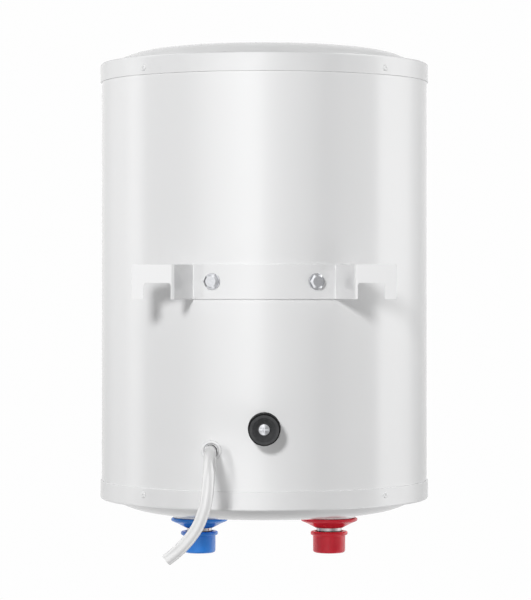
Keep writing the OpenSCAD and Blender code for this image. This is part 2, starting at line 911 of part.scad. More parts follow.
module indicator_lens() {
    color(red)
    facing_front(0, lens_z) {
        translate([0, 0, shell_r - 4]) cylinder(r = lens_r, h = dial_face + 4);
        translate([0, 0, shell_r + dial_face]) cylinder(r1 = lens_r + 1, r2 = lens_r, h = 1.2);
    }
}

module indicator_lamp() {
    color(grey) facing_front(0, lens_z) translate([0, 0, shell_r - 14]) cylinder(r = 2.8, h = 10);
}

// The bulb's fine tube runs from the pocket to the back of the thermostat
module thermostat_bulb() {
    x = pocket_x - bulb_x;
    bulb_z = pocket_top_z - 3 - bulb_l;
    route = [
        [x, pocket_y, bulb_z + 1], [x, pocket_y, -100], [x, pocket_y, -112], [x, pocket_y, -121],
        [x - 1, pocket_y - 3, -126], [13, -22, -129], [8, -40, -128], [4, -60, -124], [1, -78, -117],
        [0, -85, -113], [0, -88.6, -112], [0, stat_deep - spigot_face_r, -112]
    ];
    color(copper) at_axis() {
        translate([x, pocket_y, bulb_z]) cylinder(r = bulb_r, h = bulb_l);
        swept_tube(route, capillary_r, 8, [1, 0.2, 0.1]);
    }
}

// ---- Wiring space at the back ----

module terminal_tray() {
    color(zinc)
    difference() {
        at_axis() translate([-tray_half_w, tray_y0, tray_z0])
            cube([2 * tray_half_w, tray_y1 - tray_y0, tray_t]);
        at_pillars() translate([0, 0, tray_z0 - 1]) cylinder(r = 2.1, h = tray_t + 2);
        at_clamp_screws() translate([0, 0, tray_z0 - 1]) cylinder(r = 1.65, h = 4);
        for (x = block_x)
            at_axis() translate([x - 6, (block_y0 + block_y1) / 2, tray_z0 - 1]) cylinder(r = 1, h = 4);
    }
}

module at_pillars() {
    for (side = [-1, 1])
        at_axis() translate([side * pillar_x, pillar_y, 0]) children();
}

module tray_pillars() {
    color(zinc)
    at_pillars()
    difference() {
        translate([0, 0, tray_z1]) cylinder(r = pillar_r, h = pillar_top_z - tray_z1);
        translate([0, 0, tray_z1 - 1]) cylinder(r = 2.05, h = 12);
    }
}

module tray_screws() {
    color(zinc)
    at_pillars() {
        translate([0, 0, tray_z0 - eps]) cylinder(r = 2, h = 10);
        difference() {
            translate([0, 0, tray_z0 - 2.4]) cylinder(r1 = 2.8, r2 = 3.6, h = 2.4);
            translate([-2.6, -0.5, tray_z0 - 3.4]) cube([5.2, 1, 2]);
        }
    }
}

// A hole that a wire goes into, along Y and 6 mm deep from the face of its block
module wire_entry(x, y) {
    at_axis() translate([x, y, entry_z]) rotate([-90, 0, 0]) cylinder(r = entry_r, h = 7);
}

module terminal_block() {
    ends = 6;
    color(cream)
    difference() {
        at_axis() translate([block_x[0] - ends, block_y0, tray_z0 - block_h])
            cube([block_x[2] - block_x[0] + 2 * ends, block_y1 - block_y0, block_h]);
        for (x = block_x) {
            wire_entry(x, block_y0 - 1);
            wire_entry(x, block_y1 - 6);
            for (y = [block_y0 + 4.5, block_y1 - 4.5])
                at_axis() translate([x, y, tray_z0 - block_h - 1]) cylinder(r = 2, h = 4);
        }
    }
}

module terminal_screws() {
    color(zinc)
    for (x = block_x, y = [block_y0 + 4.5, block_y1 - 4.5])
        at_axis() translate([x, y, tray_z0 - block_h + 0.6])
        difference() {
            cylinder(r = 1.9, h = 2.4);
            translate([-2, -0.3, -1]) cube([4, 0.6, 1.8]);
        }
}

// A core of the cord: over the tray, down round its edge and back into the terminal block
module cord_core(x, start_x, start_z) {
    from_y = lead_end_y - axis_y;
    route = [
        [start_x, from_y, start_z], [start_x, from_y - 6, start_z],
        [(x + start_x) / 2, from_y - 16, start_z - 1], [x, tray_y0 + 2, -123],
        [x, tray_y0 - 4, -124.4], [x, tray_y0 - 7.5, -127.4], [x, tray_y0 - 8.5, -131],
        [x, tray_y0 - 6.5, -134.6], [x, tray_y0 - 2, -136.6], [x, tray_y0 + 4, entry_z],
        [x, block_y0 + 5, entry_z]
    ];
    at_axis() swept_tube(route, core_r, 8, [1, 0.1, 0.2]);
}

module line_core() {
    color([0.45, 0.28, 0.16]) cord_core(block_x[2], cord_route[0][0] + 1.6, cord_route[0][2] - 1);
}

module neutral_core() {
    color(blue) cord_core(block_x[1], cord_route[0][0], cord_route[0][2] + 1.8);
}

module earth_core() {
    color([0.45, 0.65, 0.20]) cord_core(block_x[0], cord_route[0][0] - 1.6, cord_route[0][2] - 1);
}

// Safety cut-out: its body hangs under the tray with the reset button pointing down
module thermal_cutout() {
    bottom = tray_z0 - cutout_h;
    color(black)
    difference() {
        at_axis() translate([cutout_x0, cutout_y0, bottom])
            cube([cutout_x1 - cutout_x0, cutout_y1 - cutout_y0, cutout_h]);
        at_axis() translate([button_x, button_y, bottom - 1]) cylinder(r = button_r + running_gap, h = 10);
        at_axis() translate([button_x, button_y, bottom + 4]) cylinder(r = button_r + 1, h = 6);
        for (x = [-30, -17], y = [cutout_y0 - 1, cutout_y1 - 6])
            wire_entry(x, y);
    }
}

module reset_button() {
    bottom = tray_z0 - cutout_h;
    color(red)
    at_axis() translate([button_x, button_y, 0]) {
        translate([0, 0, bottom - 3.5]) cylinder(r = button_r, h = 7.7 + eps);
        translate([0, 0, bottom + 4.2]) cylinder(r = button_r + 0.7, h = 5.8 - button_travel - 0.4);
    }
}

module cutout_bulb() {
    x = pocket_x + bulb_x;
    bulb_z = pocket_top_z - 3 - bulb_l;
    route = [
        [x, pocket_y, bulb_z + 1], [x, pocket_y, -100], [x, pocket_y, -112], [x, pocket_y, -121],
        [x + 1, pocket_y + 2, -126], [22.5, 0, -130], [23, 16, -132], [19, 34, -132],
        [6, 46, -132], [-14, 49, -131.6], [-27, 49.4, -131.2], [-32.4, 50.6, -131],
        [-34, 53.4, -131], [-34, cutout_y0, -131]
    ];
    color(copper) at_axis() {
        translate([x, pocket_y, bulb_z]) cylinder(r = bulb_r, h = bulb_l);
        swept_tube(route, capillary_r, 8, [0.2, 0.1, 1]);
    }
}

// Mains wiring from the terminal block through the cut-out and thermostat to the element
module internal_wires() {
    in_block = block_y1 - 5;
    in_cutout = cutout_y1 - 5;
    stat_back = stat_deep - spigot_face_r;
    line_to_cutout = [
        [30, in_block, entry_z], [30, 78, entry_z], [28, 85, -139], [20, 90, -140.6], [8, 92.5, -141],
        [-8, 92.5, -141], [-20, 92, -141], [-28, 89, -139.4], [-30, 85, -137.6], [-30, in_cutout, entry_z]
    ];
    neutral_to_cutout = [
        [18, in_block, entry_z], [18, 78, entry_z], [16, 83, -137.2], [10, 86, -137.4], [0, 86.6, -137.4],
        [-10, 86.4, -137.4], [-15.4, 85.6, -137.1], [-17, 83, entry_z], [-17, in_cutout, entry_z]
    ];
    line_to_thermostat = [
        [-30, cutout_y0 + 4, entry_z], [-30, 50, entry_z], [-30, 40, -139.5], [-30, 20, -142],
        [-29, -5, -142.6], [-26, -30, -142], [-20, -56, -138], [-13, -74, -129], [-9, -84, -121.6],
        [-8, -88.6, -120], [-8, stat_back, -120]
    ];
    neutral_to_element = [
        [-17, cutout_y0 + 4, entry_z], [-17, 50, entry_z], [-16, 42, -139.4], [-13, 30, -142],
        [-11, 19, -143.4], [-10.2, 13.6, -141.6], [-10, 12, -138], [-10, 12, element_pin_z]
    ];
    line_to_element = [
        [8, stat_back, -124], [8, -88.6, -124], [8.6, -84, -125], [11, -74, -129], [14, -50, -137],
        [14.6, -24, -142], [13.4, -4, -144], [11, 7.6, -143.4], [10.2, 11.2, -140.8],
        [10, 12, -137.4], [10, 12, element_pin_z]
    ];
    color(grey) at_axis() {
        swept_tube(line_to_cutout, wire_r, 8, [0.1, 0.1, 1]);
        swept_tube(neutral_to_cutout, wire_r, 8, [0.1, 0.1, 1]);
        swept_tube(line_to_thermostat, wire_r, 8, [1, 0.1, 0.1]);
        swept_tube(neutral_to_element, wire_r, 8, [1, 0.1, 0.1]);
        swept_tube(line_to_element, wire_r, 8, [1, 0.1, 0.1]);
        for (x = [-1.4, 1.4])
            swept_tube([
                [x, 14 - shell_r, lens_z], [x, 16 - shell_r, lens_z], [x, 18.4 - shell_r, lens_z - 1.2],
                [x, 19.6 - shell_r, lens_z - 3.4], [x, 20 - shell_r, lens_z - 6],
                [x, 20 - shell_r, knob_z + stat_h / 2]
            ], 0.8, 8, [1, 0.1, 0.1]);
    }
}

// Earth link from the terminal block to the flange stud nearest the back
module earth_wire() {
    route = [
        [6, block_y1 - 5, entry_z], [6, 77, entry_z], [3.4, 80.6, entry_z], [-1.4, 81, entry_z],
        [-5, 77.6, entry_z], [-6, 70, entry_z], [-6, 58, entry_z], [-4.6, 47, entry_z],
        [-2, 39, -136.6], [-0.4, 34.8, -134.4],
        [0, stud_circle_r, -131.4], [0, stud_circle_r, stud_tip_z]
    ];
    color([0.45, 0.65, 0.20]) at_axis() swept_tube(route, wire_r, 8, [0.9, 0.3, 0.2]);
}

outer_shell();
top_cover();
bottom_cover();
top_cover_screws();
bottom_cover_screws();
wall_bracket();
bracket_bolts();
bracket_washers();
bracket_bosses();
wall_spacer();
spacer_screw();
cord_gland();
power_cord();
cold_dish();
hot_dish();
cold_nipple();
hot_nipple();
cold_thread_cap();
hot_thread_cap();
tank_barrel();
tank_top_head();
tank_bottom_head();
foam_jacket();
inlet_diffuser();
outlet_tube();
flange_ring();
flange_studs();
flange_gasket();
flange_plate();
flange_nuts();
heating_element();
anode_rod();
sensor_pocket();
thermostat_body();
thermostat_bulb();
thermostat_screws();
thermostat_spindle();
temperature_knob();
dial_plate();
indicator_lens();
indicator_lamp();
terminal_tray();
tray_pillars();
tray_screws();
terminal_block();
terminal_screws();
cord_clamp();
cord_clamp_screws();
sheathed_lead();
line_core();
neutral_core();
earth_core();
thermal_cutout();
cutout_bulb();
reset_button();
internal_wires();
earth_wire();
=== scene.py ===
import json
import math

import bmesh
import bpy
from mathutils import Matrix, Vector


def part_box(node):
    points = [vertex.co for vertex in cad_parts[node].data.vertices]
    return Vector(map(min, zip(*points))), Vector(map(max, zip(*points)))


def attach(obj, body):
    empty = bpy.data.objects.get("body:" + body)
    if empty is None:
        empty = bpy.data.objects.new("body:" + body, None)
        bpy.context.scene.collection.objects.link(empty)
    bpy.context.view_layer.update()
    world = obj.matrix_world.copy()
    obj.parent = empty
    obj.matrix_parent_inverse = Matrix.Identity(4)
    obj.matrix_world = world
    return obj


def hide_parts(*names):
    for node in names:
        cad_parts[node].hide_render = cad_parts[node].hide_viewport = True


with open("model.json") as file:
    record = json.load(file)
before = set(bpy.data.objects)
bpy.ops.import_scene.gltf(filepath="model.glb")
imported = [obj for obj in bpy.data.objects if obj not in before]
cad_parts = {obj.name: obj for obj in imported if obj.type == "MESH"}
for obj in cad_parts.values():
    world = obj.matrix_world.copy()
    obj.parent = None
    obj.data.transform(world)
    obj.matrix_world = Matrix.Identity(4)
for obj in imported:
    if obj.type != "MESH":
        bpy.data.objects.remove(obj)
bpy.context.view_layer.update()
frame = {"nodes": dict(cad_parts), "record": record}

# A small wall-hung water heater, seen from behind. The frame's +Y points at the wall and +Z up.
# Sizes below are millimetres, and new_mesh() turns them into the metres that Blender works in.
MM = 0.001
BODIES = frame["record"]["behaviour"]["bodies"]
BODY_OF = {node: body for body, nodes in BODIES.items() for node in nodes}


def cad_box(node):
    """The lowest and the highest corner of a CAD node, in millimetres."""
    low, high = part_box(node)
    return low / MM, high / MM


# ---- Sizes taken from the frame ----

shell_low, shell_high = cad_box("outer_shell")
SHELL_R = (shell_high.x - shell_low.x) / 2
AXIS_Y = (shell_high.y + shell_low.y) / 2
top_low, top_high = cad_box("top_cover")
bottom_low, bottom_high = cad_box("bottom_cover")
COVER_R = (top_high.x - top_low.x) / 2
TOP_SEAM_Z = top_low.z
BOTTOM_SEAM_Z = bottom_high.z
BACK_Y = AXIS_Y + SHELL_R

# ---- Camera ----

CAMERA_BACK = 1853
CAMERA_HEIGHT = 2.9
LENS = 155.3
SHIFT_X = 0.0021
SHIFT_Y = -0.0352


def add_camera():
    """Level, behind the heater and nearly two metres from it, looking along -Y."""
    data = bpy.data.cameras.new("camera")
    data.lens = LENS
    data.shift_x = SHIFT_X
    data.shift_y = SHIFT_Y
    camera = bpy.data.objects.new("camera", data)
    camera.location = Vector((0, CAMERA_BACK, CAMERA_HEIGHT)) * MM
    camera.rotation_euler = (math.radians(90), 0, math.radians(180))
    bpy.context.scene.collection.objects.link(camera)
    bpy.context.scene.camera = camera


add_camera()

# ---- Making meshes ----


def arc(centre, radius, start, end, steps):
    """Points round part of a circle, with both ends, in degrees."""
    angles = [math.radians(start + (end - start) * k / steps) for k in range(steps + 1)]
    return [(centre[0] + radius * math.cos(a), centre[1] + radius * math.sin(a)) for a in angles]


def rounded(corners, steps=4):
    """A closed outline with its corners rounded. A corner is (x, y) or (x, y, radius)."""
    points = []
    for i, corner in enumerate(corners):
        here = Vector(corner[:2])
        if len(corner) < 3:
            points.append(tuple(here))
            continue
        back = Vector(corners[i - 1][:2]) - here
        ahead = Vector(corners[(i + 1) % len(corners)][:2]) - here
        half = back.angle(ahead) / 2
        reach = min(corner[2] / math.tan(half), 0.49 * back.length, 0.49 * ahead.length)
        radius = reach * math.tan(half)
        inwards = (back.normalized() + ahead.normalized()).normalized()
        middle = here + inwards * (radius / math.sin(half))
        first = here + back.normalized() * reach - middle
        last = here + ahead.normalized() * reach - middle
        turn = first.angle_signed(last)
        for k in range(steps + 1):
            points.append(tuple(middle + Matrix.Rotation(-turn * k / steps, 2) @ first))
    return points


def new_mesh(name, points, faces):
    """A mesh in metres, from points in millimetres, with its faces turned outwards."""
    mesh = bpy.data.meshes.new(name)
    mesh.from_pydata([tuple(Vector(p) * MM) for p in points], [], faces)
    work = bmesh.new()
    work.from_mesh(mesh)
    bmesh.ops.recalc_face_normals(work, faces=work.faces)
    work.to_mesh(mesh)
    work.free()
    return mesh


def new_object(mesh):
    made = bpy.data.objects.new(mesh.name, mesh)
    bpy.context.scene.collection.objects.link(made)
    return made


def stay(x, y, z):
    return x, y, z


def upright(centre_x, centre_y=None):
    """Places a turned shape on a vertical axis."""
    middle = AXIS_Y if centre_y is None else centre_y
    return lambda x, y, z: (centre_x + x, middle + y, z)


def facing_wall(centre_x, face_y, centre_z):
    """Turns +Z to point at the wall."""
    return lambda x, y, z: (centre_x - x, face_y + z, centre_z + y)


def facing_front(centre_x, centre_z):
    """Turns +Z to point out of the front, from the tank's axis."""
    return lambda x, y, z: (centre_x + x, AXIS_Y - z, centre_z + y)


def radial(degrees, centre_z):
    """Turns +Z to point out of the case, at an angle from the back."""
    turn = Matrix.Rotation(math.radians(-degrees), 3, "Z")

    def place(x, y, z):
        spot = turn @ Vector((-x, z, y))
        return spot.x, spot.y + AXIS_Y, spot.z + centre_z

    return place


def turned(name, outline, place=stay, steps=96, radius_at=None):
    """Turns a closed outline of (radius, height) points round its axis."""
    points = []
    rings = []
    for radius, height in outline:
        if radius < 1e-6:
            rings.append([len(points)] * steps)
            points.append(place(0, 0, height))
            continue
        rings.append(list(range(len(points), len(points) + steps)))
        for k in range(steps):
            a = math.tau * k / steps
            r = radius_at(radius, height, a) if radius_at else radius
            points.append(place(r * math.cos(a), r * math.sin(a), height))
    faces = []
    for i, ring in enumerate(rings):
        after = rings[(i + 1) % len(rings)]
        for k in range(steps):
            j = (k + 1) % steps
            face = list(dict.fromkeys((ring[k], ring[j], after[j], after[k])))
            if len(face) > 2:
                faces.append(face)
    return new_mesh(name, points, faces)


def prism(name, outline, low, high, place=stay):
    """Extrudes a closed outline from low to high along Z."""
    count = len(outline)
    points = [place(x, y, low) for x, y in outline] + [place(x, y, high) for x, y in outline]
    faces = [list(range(count)), list(range(count, 2 * count))]
    faces += [[k, (k + 1) % count, count + (k + 1) % count, count + k] for k in range(count)]
    return new_mesh(name, points, faces)


def swept(name, path, section, up_at):
    """Sweeps a closed section along a path, with flat ends. section(i) gives (across, up) points."""
    points = []
    for i, spot in enumerate(path):
        ahead = (path[min(i + 1, len(path) - 1)] - path[max(i - 1, 0)]).normalized()
        across = ahead.cross(up_at(i)).normalized()
        up = across.cross(ahead)
        points += [spot + across * a + up * u for a, u in section(i)]
    sides = len(section(0))
    faces = [list(range(sides)), list(range(len(points) - sides, len(points)))]
    for i in range(len(path) - 1):
        for k in range(sides):
            j = (k + 1) % sides
            start = i * sides
            faces.append([start + k, start + j, start + sides + j, start + sides + k])
    return new_mesh(name, points, faces)


def join(name, meshes):
    """One mesh out of several."""
    work = bmesh.new()
    for mesh in meshes:
        work.from_mesh(mesh)
        bpy.data.meshes.remove(mesh)
    mesh = bpy.data.meshes.new(name)
    work.to_mesh(mesh)
    work.free()
    return mesh


def bake_modifiers(made):
    """Replaces an object's mesh by what its modifiers make of it."""
    graph = bpy.context.evaluated_depsgraph_get()
    mesh = bpy.data.meshes.new_from_object(made.evaluated_get(graph))
    made.modifiers.clear()
    old = made.data
    made.data = mesh
    bpy.data.meshes.remove(old)


def combine(mesh, tools, operation="DIFFERENCE"):
    """Cuts the tools out of the mesh, or adds them to it."""
    made = new_object(mesh)
    name = mesh.name
    helpers = [new_object(tool) for tool in tools]
    for helper in helpers:
        step = made.modifiers.new("combine", "BOOLEAN")
        step.operation = operation
        step.solver = "EXACT"
        step.object = helper
    bake_modifiers(made)
    result = made.data
    result.name = name
    bpy.data.objects.remove(made)
    for helper in helpers:
        bpy.data.meshes.remove(helper.data)
    return result


def piece(mesh, nodes, material, smooth=32, bevel=0.0, bevel_steps=2):
    """Shows a mesh in place of CAD nodes, on their body, with soft edges where bevel is given."""
    made = new_object(mesh)
    mesh.materials.clear()
    mesh.materials.append(material)
    if bevel:
        edge = made.modifiers.new("bevel", "BEVEL")
        edge.width = bevel * MM
        edge.segments = bevel_steps
        edge.limit_method = "ANGLE"
        edge.angle_limit = math.radians(smooth)
        bake_modifiers(made)
    mesh = made.data
    mesh.polygons.foreach_set("use_smooth", [True] * len(mesh.polygons))
    mesh.set_sharp_from_angle(angle=math.radians(smooth + 20 if bevel else smooth))
    normals = made.modifiers.new("normals", "WEIGHTED_NORMAL")
    normals.keep_sharp = True
    made.name = nodes[0] + "_finished"
    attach(made, BODY_OF[nodes[0]])
    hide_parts(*nodes)
    return made


# ---- Materials ----


class Surface:
    """A Principled material and the textures that feed it. Their scales are features per metre."""

    def __init__(self, name, colour, roughness, metallic=0.0, ior=1.5):
        self.material = bpy.data.materials.new(name)
        self.material.use_nodes = True
        self.nodes = self.material.node_tree.nodes
        self.links = self.material.node_tree.links
        self.shader = self.nodes["Principled BSDF"]
        self.shader.inputs["Base Color"].default_value = (*colour, 1)
        self.shader.inputs["Roughness"].default_value = roughness
        self.shader.inputs["Metallic"].default_value = metallic
        self.shader.inputs["IOR"].default_value = ior
        self.colour = colour
        self.roughness = roughness
        self.place = self.nodes.new("ShaderNodeTexCoord").outputs["Object"]
        self.normal = None

    def stretched(self, scale):
        """The place on the object, scaled differently along each axis."""
        mapping = self.nodes.new("ShaderNodeMapping")
        mapping.inputs["Scale"].default_value = scale
        self.links.new(self.place, mapping.inputs["Vector"])
        return mapping.outputs["Vector"]

    def noise(self, scale, detail=3, stretch=None):
        texture = self.nodes.new("ShaderNodeTexNoise")
        texture.inputs["Scale"].default_value = scale
        texture.inputs["Detail"].default_value = detail
        self.links.new(self.stretched(stretch) if stretch else self.place, texture.inputs["Vector"])
        return texture.outputs["Fac"]

    def cells(self, scale):
        texture = self.nodes.new("ShaderNodeTexVoronoi")
        texture.inputs["Scale"].default_value = scale
        self.links.new(self.place, texture.inputs["Vector"])
        return texture.outputs["Color"]

    def grain(self, scale):
        texture = self.nodes.new("ShaderNodeTexVoronoi")
        texture.feature = "SMOOTH_F1"
        texture.inputs["Scale"].default_value = scale
        self.links.new(self.place, texture.inputs["Vector"])
        return texture.outputs["Distance"]

    def rings(self, scale):
        texture = self.nodes.new("ShaderNodeTexWave")
        texture.bands_direction = "Z"
        texture.inputs["Scale"].default_value = scale
        texture.inputs["Distortion"].default_value = 1.5
        texture.inputs["Detail"].default_value = 3
        self.links.new(self.place, texture.inputs["Vector"])
        return texture.outputs["Fac"]

    def spread(self, value, low, high, start=0.3, end=0.7):
        """Maps a texture's middle range onto low to high."""
        ranged = self.nodes.new("ShaderNodeMapRange")
        ranged.inputs["From Min"].default_value = start
        ranged.inputs["From Max"].default_value = end
        ranged.inputs["To Min"].default_value = low
        ranged.inputs["To Max"].default_value = high
        self.links.new(value, ranged.inputs["Value"])
        return ranged.outputs["Result"]

    def tint(self, value, other, start=0.3, end=0.7):
        """Colours the surface from its own colour to another one along a texture."""
        ramp = self.nodes.new("ShaderNodeValToRGB")
        ramp.color_ramp.elements[0].position = start
        ramp.color_ramp.elements[1].position = end
        ramp.color_ramp.elements[0].color = (*self.colour, 1)
        ramp.color_ramp.elements[1].color = (*other, 1)
        self.links.new(value, ramp.inputs["Fac"])
        self.links.new(ramp.outputs["Color"], self.shader.inputs["Base Color"])
        return self

    def rough(self, value, low, high):
        self.links.new(self.spread(value, low, high), self.shader.inputs["Roughness"])
        return self

    def bump(self, value, height):
        """Adds relief of a height in metres, on top of any relief so far."""
        relief = self.nodes.new("ShaderNodeBump")
        relief.inputs["Distance"].default_value = height
        relief.inputs["Strength"].default_value = 1.0
        self.links.new(value, relief.inputs["Height"])
        if self.normal:
            self.links.new(self.normal, relief.inputs["Normal"])
        self.normal = relief.outputs["Normal"]
        self.links.new(self.normal, self.shader.inputs["Normal"])
        return self


def faded(colour, factor):
    return tuple(min(1.0, channel * factor) for channel in colour)


GLOSS_IOR = 2.0


def enamel(name, colour):
    """Sprayed gloss paint on sheet steel: orange peel and the odd dust nib."""
    made = Surface(name, colour, 0.16, ior=GLOSS_IOR)
    made.tint(made.noise(9), faded(colour, 0.985))
    made.rough(made.noise(45, 4), 0.13, 0.19)
    made.bump(made.noise(420, 2), 0.000012)
    made.bump(made.noise(2600, 2), 0.000002)
    return made.material


def moulded(name, colour, roughness=0.3, grain=0.000003, grain_scale=2400, ior=1.5):
    """Moulded plastic with a fine spark-eroded grain and faint flow marks."""
    made = Surface(name, colour, roughness, ior=ior)
    made.tint(made.noise(35), faded(colour, 0.95))
    made.rough(made.noise(160, 4), roughness * 0.8, roughness * 1.25)
    made.bump(made.grain(grain_scale), grain)
    return made.material


def plated(name, colour, roughness):
    """Zinc plating: small crystals that differ in tone, and fine scratches."""
    made = Surface(name, colour, roughness, metallic=1.0)
    made.tint(made.cells(900), faded(colour, 0.9), 0.1, 0.9)
    made.rough(made.noise(700, 5), roughness * 0.7, roughness * 1.5)
    made.bump(made.noise(1500, 3, (1, 0.15, 1)), 0.000004)
    return made.material


def machined(name, colour, roughness=0.28, pitch=900):
    """Bare metal with turning marks round it."""
    made = Surface(name, colour, roughness, metallic=1.0)
    made.tint(made.noise(120, 4), faded(colour, 0.8))
    made.rough(made.noise(400, 5), roughness * 0.75, roughness * 1.3)
    made.bump(made.rings(pitch), 0.000004)
    return made.material


def rolled(name, colour, roughness):
    """Sheet metal with a rolling grain."""
    made = Surface(name, colour, roughness, metallic=1.0)
    made.tint(made.noise(60, 5), faded(colour, 0.75))
    made.rough(made.noise(200, 5), roughness * 0.8, roughness * 1.3)
    made.bump(made.noise(300, 3, (1, 1, 0.04)), 0.00001)
    return made.material


def elastic(name, colour, dusty, ior):
    """Moulded rubber: matt, with a skin of fine pits and traces of dust."""
    made = Surface(name, colour, 0.65, ior=ior)
    made.tint(made.noise(260, 6), dusty, 0.45, 0.8)
    made.rough(made.noise(500, 4), 0.55, 0.75)
    made.bump(made.grain(2400), 0.00002)
    made.bump(made.noise(700, 3), 0.00001)
    return made.material


def cast(name, colour, roughness):
    """Cast or foamed stock with a coarse skin."""
    made = Surface(name, colour, roughness)
    made.tint(made.noise(80, 6), faded(colour, 0.82))
    made.rough(made.noise(200, 4), roughness * 0.85, min(1, roughness * 1.2))
    made.bump(made.noise(350, 5), 0.00025)
    made.bump(made.grain(500), 0.0001)
    return made.material


def tinted_lens(name, colour):
    """Clear coloured plastic over a small lamp."""
    made = Surface(name, colour, 0.08, ior=1.49)
    made.shader.inputs["Transmission Weight"].default_value = 0.35
    made.tint(made.grain(600), faded(colour, 0.7), 0.0, 0.9)
    made.rough(made.noise(600, 2), 0.06, 0.12)
    made.bump(made.grain(900), 0.00004)
    return made.material


WHITE = (0.83, 0.832, 0.836)
white_enamel = enamel("white_enamel", WHITE)
white_plastic = moulded("white_plastic", WHITE, 0.2, ior=GLOSS_IOR)
white_sheath = moulded("white_sheath", (0.85, 0.85, 0.85), 0.18, 0.000002, 900, GLOSS_IOR)
zinc = plated("zinc", (0.40, 0.405, 0.42), 0.14)
# The foot's rubber comes in two copies. The near-black one, also the gasket's own colour, paints shade
# onto the foot's side. The lighter one paints light onto the foot's face.
black_rubber = elastic("black_rubber", (0.003, 0.003, 0.0033), (0.009, 0.009, 0.009), 1.12)
rubber_face_painted_light = elastic("rubber_face_painted_light", (0.05, 0.051, 0.053), (0.075, 0.075, 0.076), 1.35)
blue_plastic = moulded("blue_plastic", (0.035, 0.28, 0.92), 0.22, ior=1.38)
red_plastic = moulded("red_plastic", (1.0, 0.035, 0.065), 0.22, ior=1.32)
bare_steel = machined("bare_steel", (0.3, 0.29, 0.29))
tank_steel = rolled("tank_steel", (0.50, 0.50, 0.52), 0.35)
copper = machined("copper", (0.86, 0.42, 0.26), 0.3, 500)
magnesium = cast("magnesium", (0.36, 0.36, 0.37), 0.55)
foam = cast("foam", (0.80, 0.66, 0.38), 0.85)
cream_plastic = moulded("cream_plastic", (0.78, 0.70, 0.52), 0.42, 0.00002, 1200)
black_plastic = moulded("black_plastic", (0.03, 0.03, 0.032), 0.38, 0.00002, 1200)
grey_marks = moulded("grey_marks", (0.16, 0.17, 0.18), 0.45, 0.000006)
lamp_lens = tinted_lens("lamp_lens", (0.65, 0.03, 0.02))
brown_wire = moulded("brown_wire", (0.13, 0.05, 0.02), 0.35, 0.000008, 700)
blue_wire = moulded("blue_wire", (0.03, 0.12, 0.45), 0.35, 0.000008, 700)
earth_green = moulded("earth_green", (0.20, 0.42, 0.05), 0.35, 0.000008, 700)
grey_wire = moulded("grey_wire", (0.25, 0.26, 0.27), 0.35, 0.000008, 700)

# ---- Supply cord ----

CORD_D = 8.8
CORE_OFFSET = 1.75
CORE_R = 1.45
CONDUCTOR_R = 0.72
STRAND_R = 0.22
STRAND_OFFSET = 0.46
CORD_ROUTE = [
    (0.039, -0.03, -0.122), (0.039, -0.022, -0.122), (0.039, -0.014, -0.122),
    (0.039, -0.0062, -0.1229), (0.039, 0.0012, -0.1254), (0.039, 0.008, -0.1295),
    (0.0392, 0.0136, -0.1349), (0.0396, 0.0179, -0.1414), (0.0402, 0.0208, -0.1487),
    (0.0414, 0.0222, -0.1564), (0.0436, 0.0224, -0.164), (0.0467, 0.0218, -0.1716),
    (0.051, 0.0208, -0.1785), (0.0562, 0.0198, -0.1849), (0.0622, 0.0188, -0.1908),
    (0.0694, 0.018, -0.1966),
]


def smooth_path(points, steps):
    """A curve through the points, with a number of steps between each two."""
    path = []
    ends = [2 * points[0] - points[1], *points, 2 * points[-1] - points[-2]]
    for before, here, ahead, after in zip(ends, ends[1:], ends[2:], ends[3:]):
        for k in range(steps):
            t = k / steps
            path.append(0.5 * (
                2 * here + (ahead - before) * t
                + (2 * before - 5 * here + 4 * ahead - after) * t * t
                + (3 * here - before - 3 * ahead + after) * t ** 3
            ))
    return path + [points[-1]]


def circle(radius, sides, centre=(0.0, 0.0)):
    return arc(centre, radius, 0, 360 * (sides - 1) / sides, sides - 1)


def shade(mesh, material, smooth):
    """Gives a mesh a material, and smooth shading but for edges sharper than an angle."""
    mesh.materials.append(material)
    mesh.polygons.foreach_set("use_smooth", [True] * len(mesh.polygons))
    mesh.set_sharp_from_angle(angle=math.radians(smooth))


def make_cord():
    """The white sheath, cut square, with its three cores showing at the cut."""
    path = smooth_path([Vector(p) / MM for p in CORD_ROUTE], 8)
    side_hint = Vector((1, 0.4, 0.9))
    edge = 0.15
    cut = len(path) - 1
    ring = circle(1.0, 32)

    def section(i):
        radius = CORD_D / 2 - (edge if i == cut else 0)
        return [(radius * a, radius * u) for a, u in ring]

    end = (path[-1] - path[-2]).normalized()
    path.insert(cut, path[-1] - end * edge)
    cut += 1
    sheath = new_object(swept("power_cord_finished", path, section, lambda i: side_hint))
    shade(sheath.data, white_sheath, 40)
    across = end.cross(side_hint).normalized()
    up = across.cross(end)
    insulations = (("brown_wire", brown_wire), ("blue_wire", blue_wire), ("earth_green", earth_green))
    for index, (slot_name, insulation) in enumerate(insulations):
        a = math.radians(90 + 120 * index)
        middle = path[-1] + across * CORE_OFFSET * math.cos(a) + up * CORE_OFFSET * math.sin(a)

        def place(x, y, z, middle=middle):
            return middle + across * x + up * y + end * z

        tube = rounded([
            (CONDUCTOR_R, -0.6), (CORE_R, -0.6), (CORE_R, 0.05, 0.1), (CONDUCTOR_R, 0.05, 0.05),
        ], 2)
        wire = rounded([(0, -0.6), (STRAND_R, -0.6), (STRAND_R, 0.05, 0.08), (0, 0.05)], 2)
        jacket = turned(f"cord_core_{index}", tube, place, 32)
        wires = [turned("strand", wire, spot, 10) for spot in strand_places(place)]
        strands = join(f"cord_strands_{index}", wires)
        for mesh, finish, slot in ((jacket, insulation, slot_name), (strands, copper, "copper")):
            core = new_object(mesh)
            shade(mesh, finish, 40)
            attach(core, "heater")
    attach(sheath, "heater")
    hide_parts("power_cord")
    length = sum((b - a).length for a, b in zip(path, path[1:])) * MM


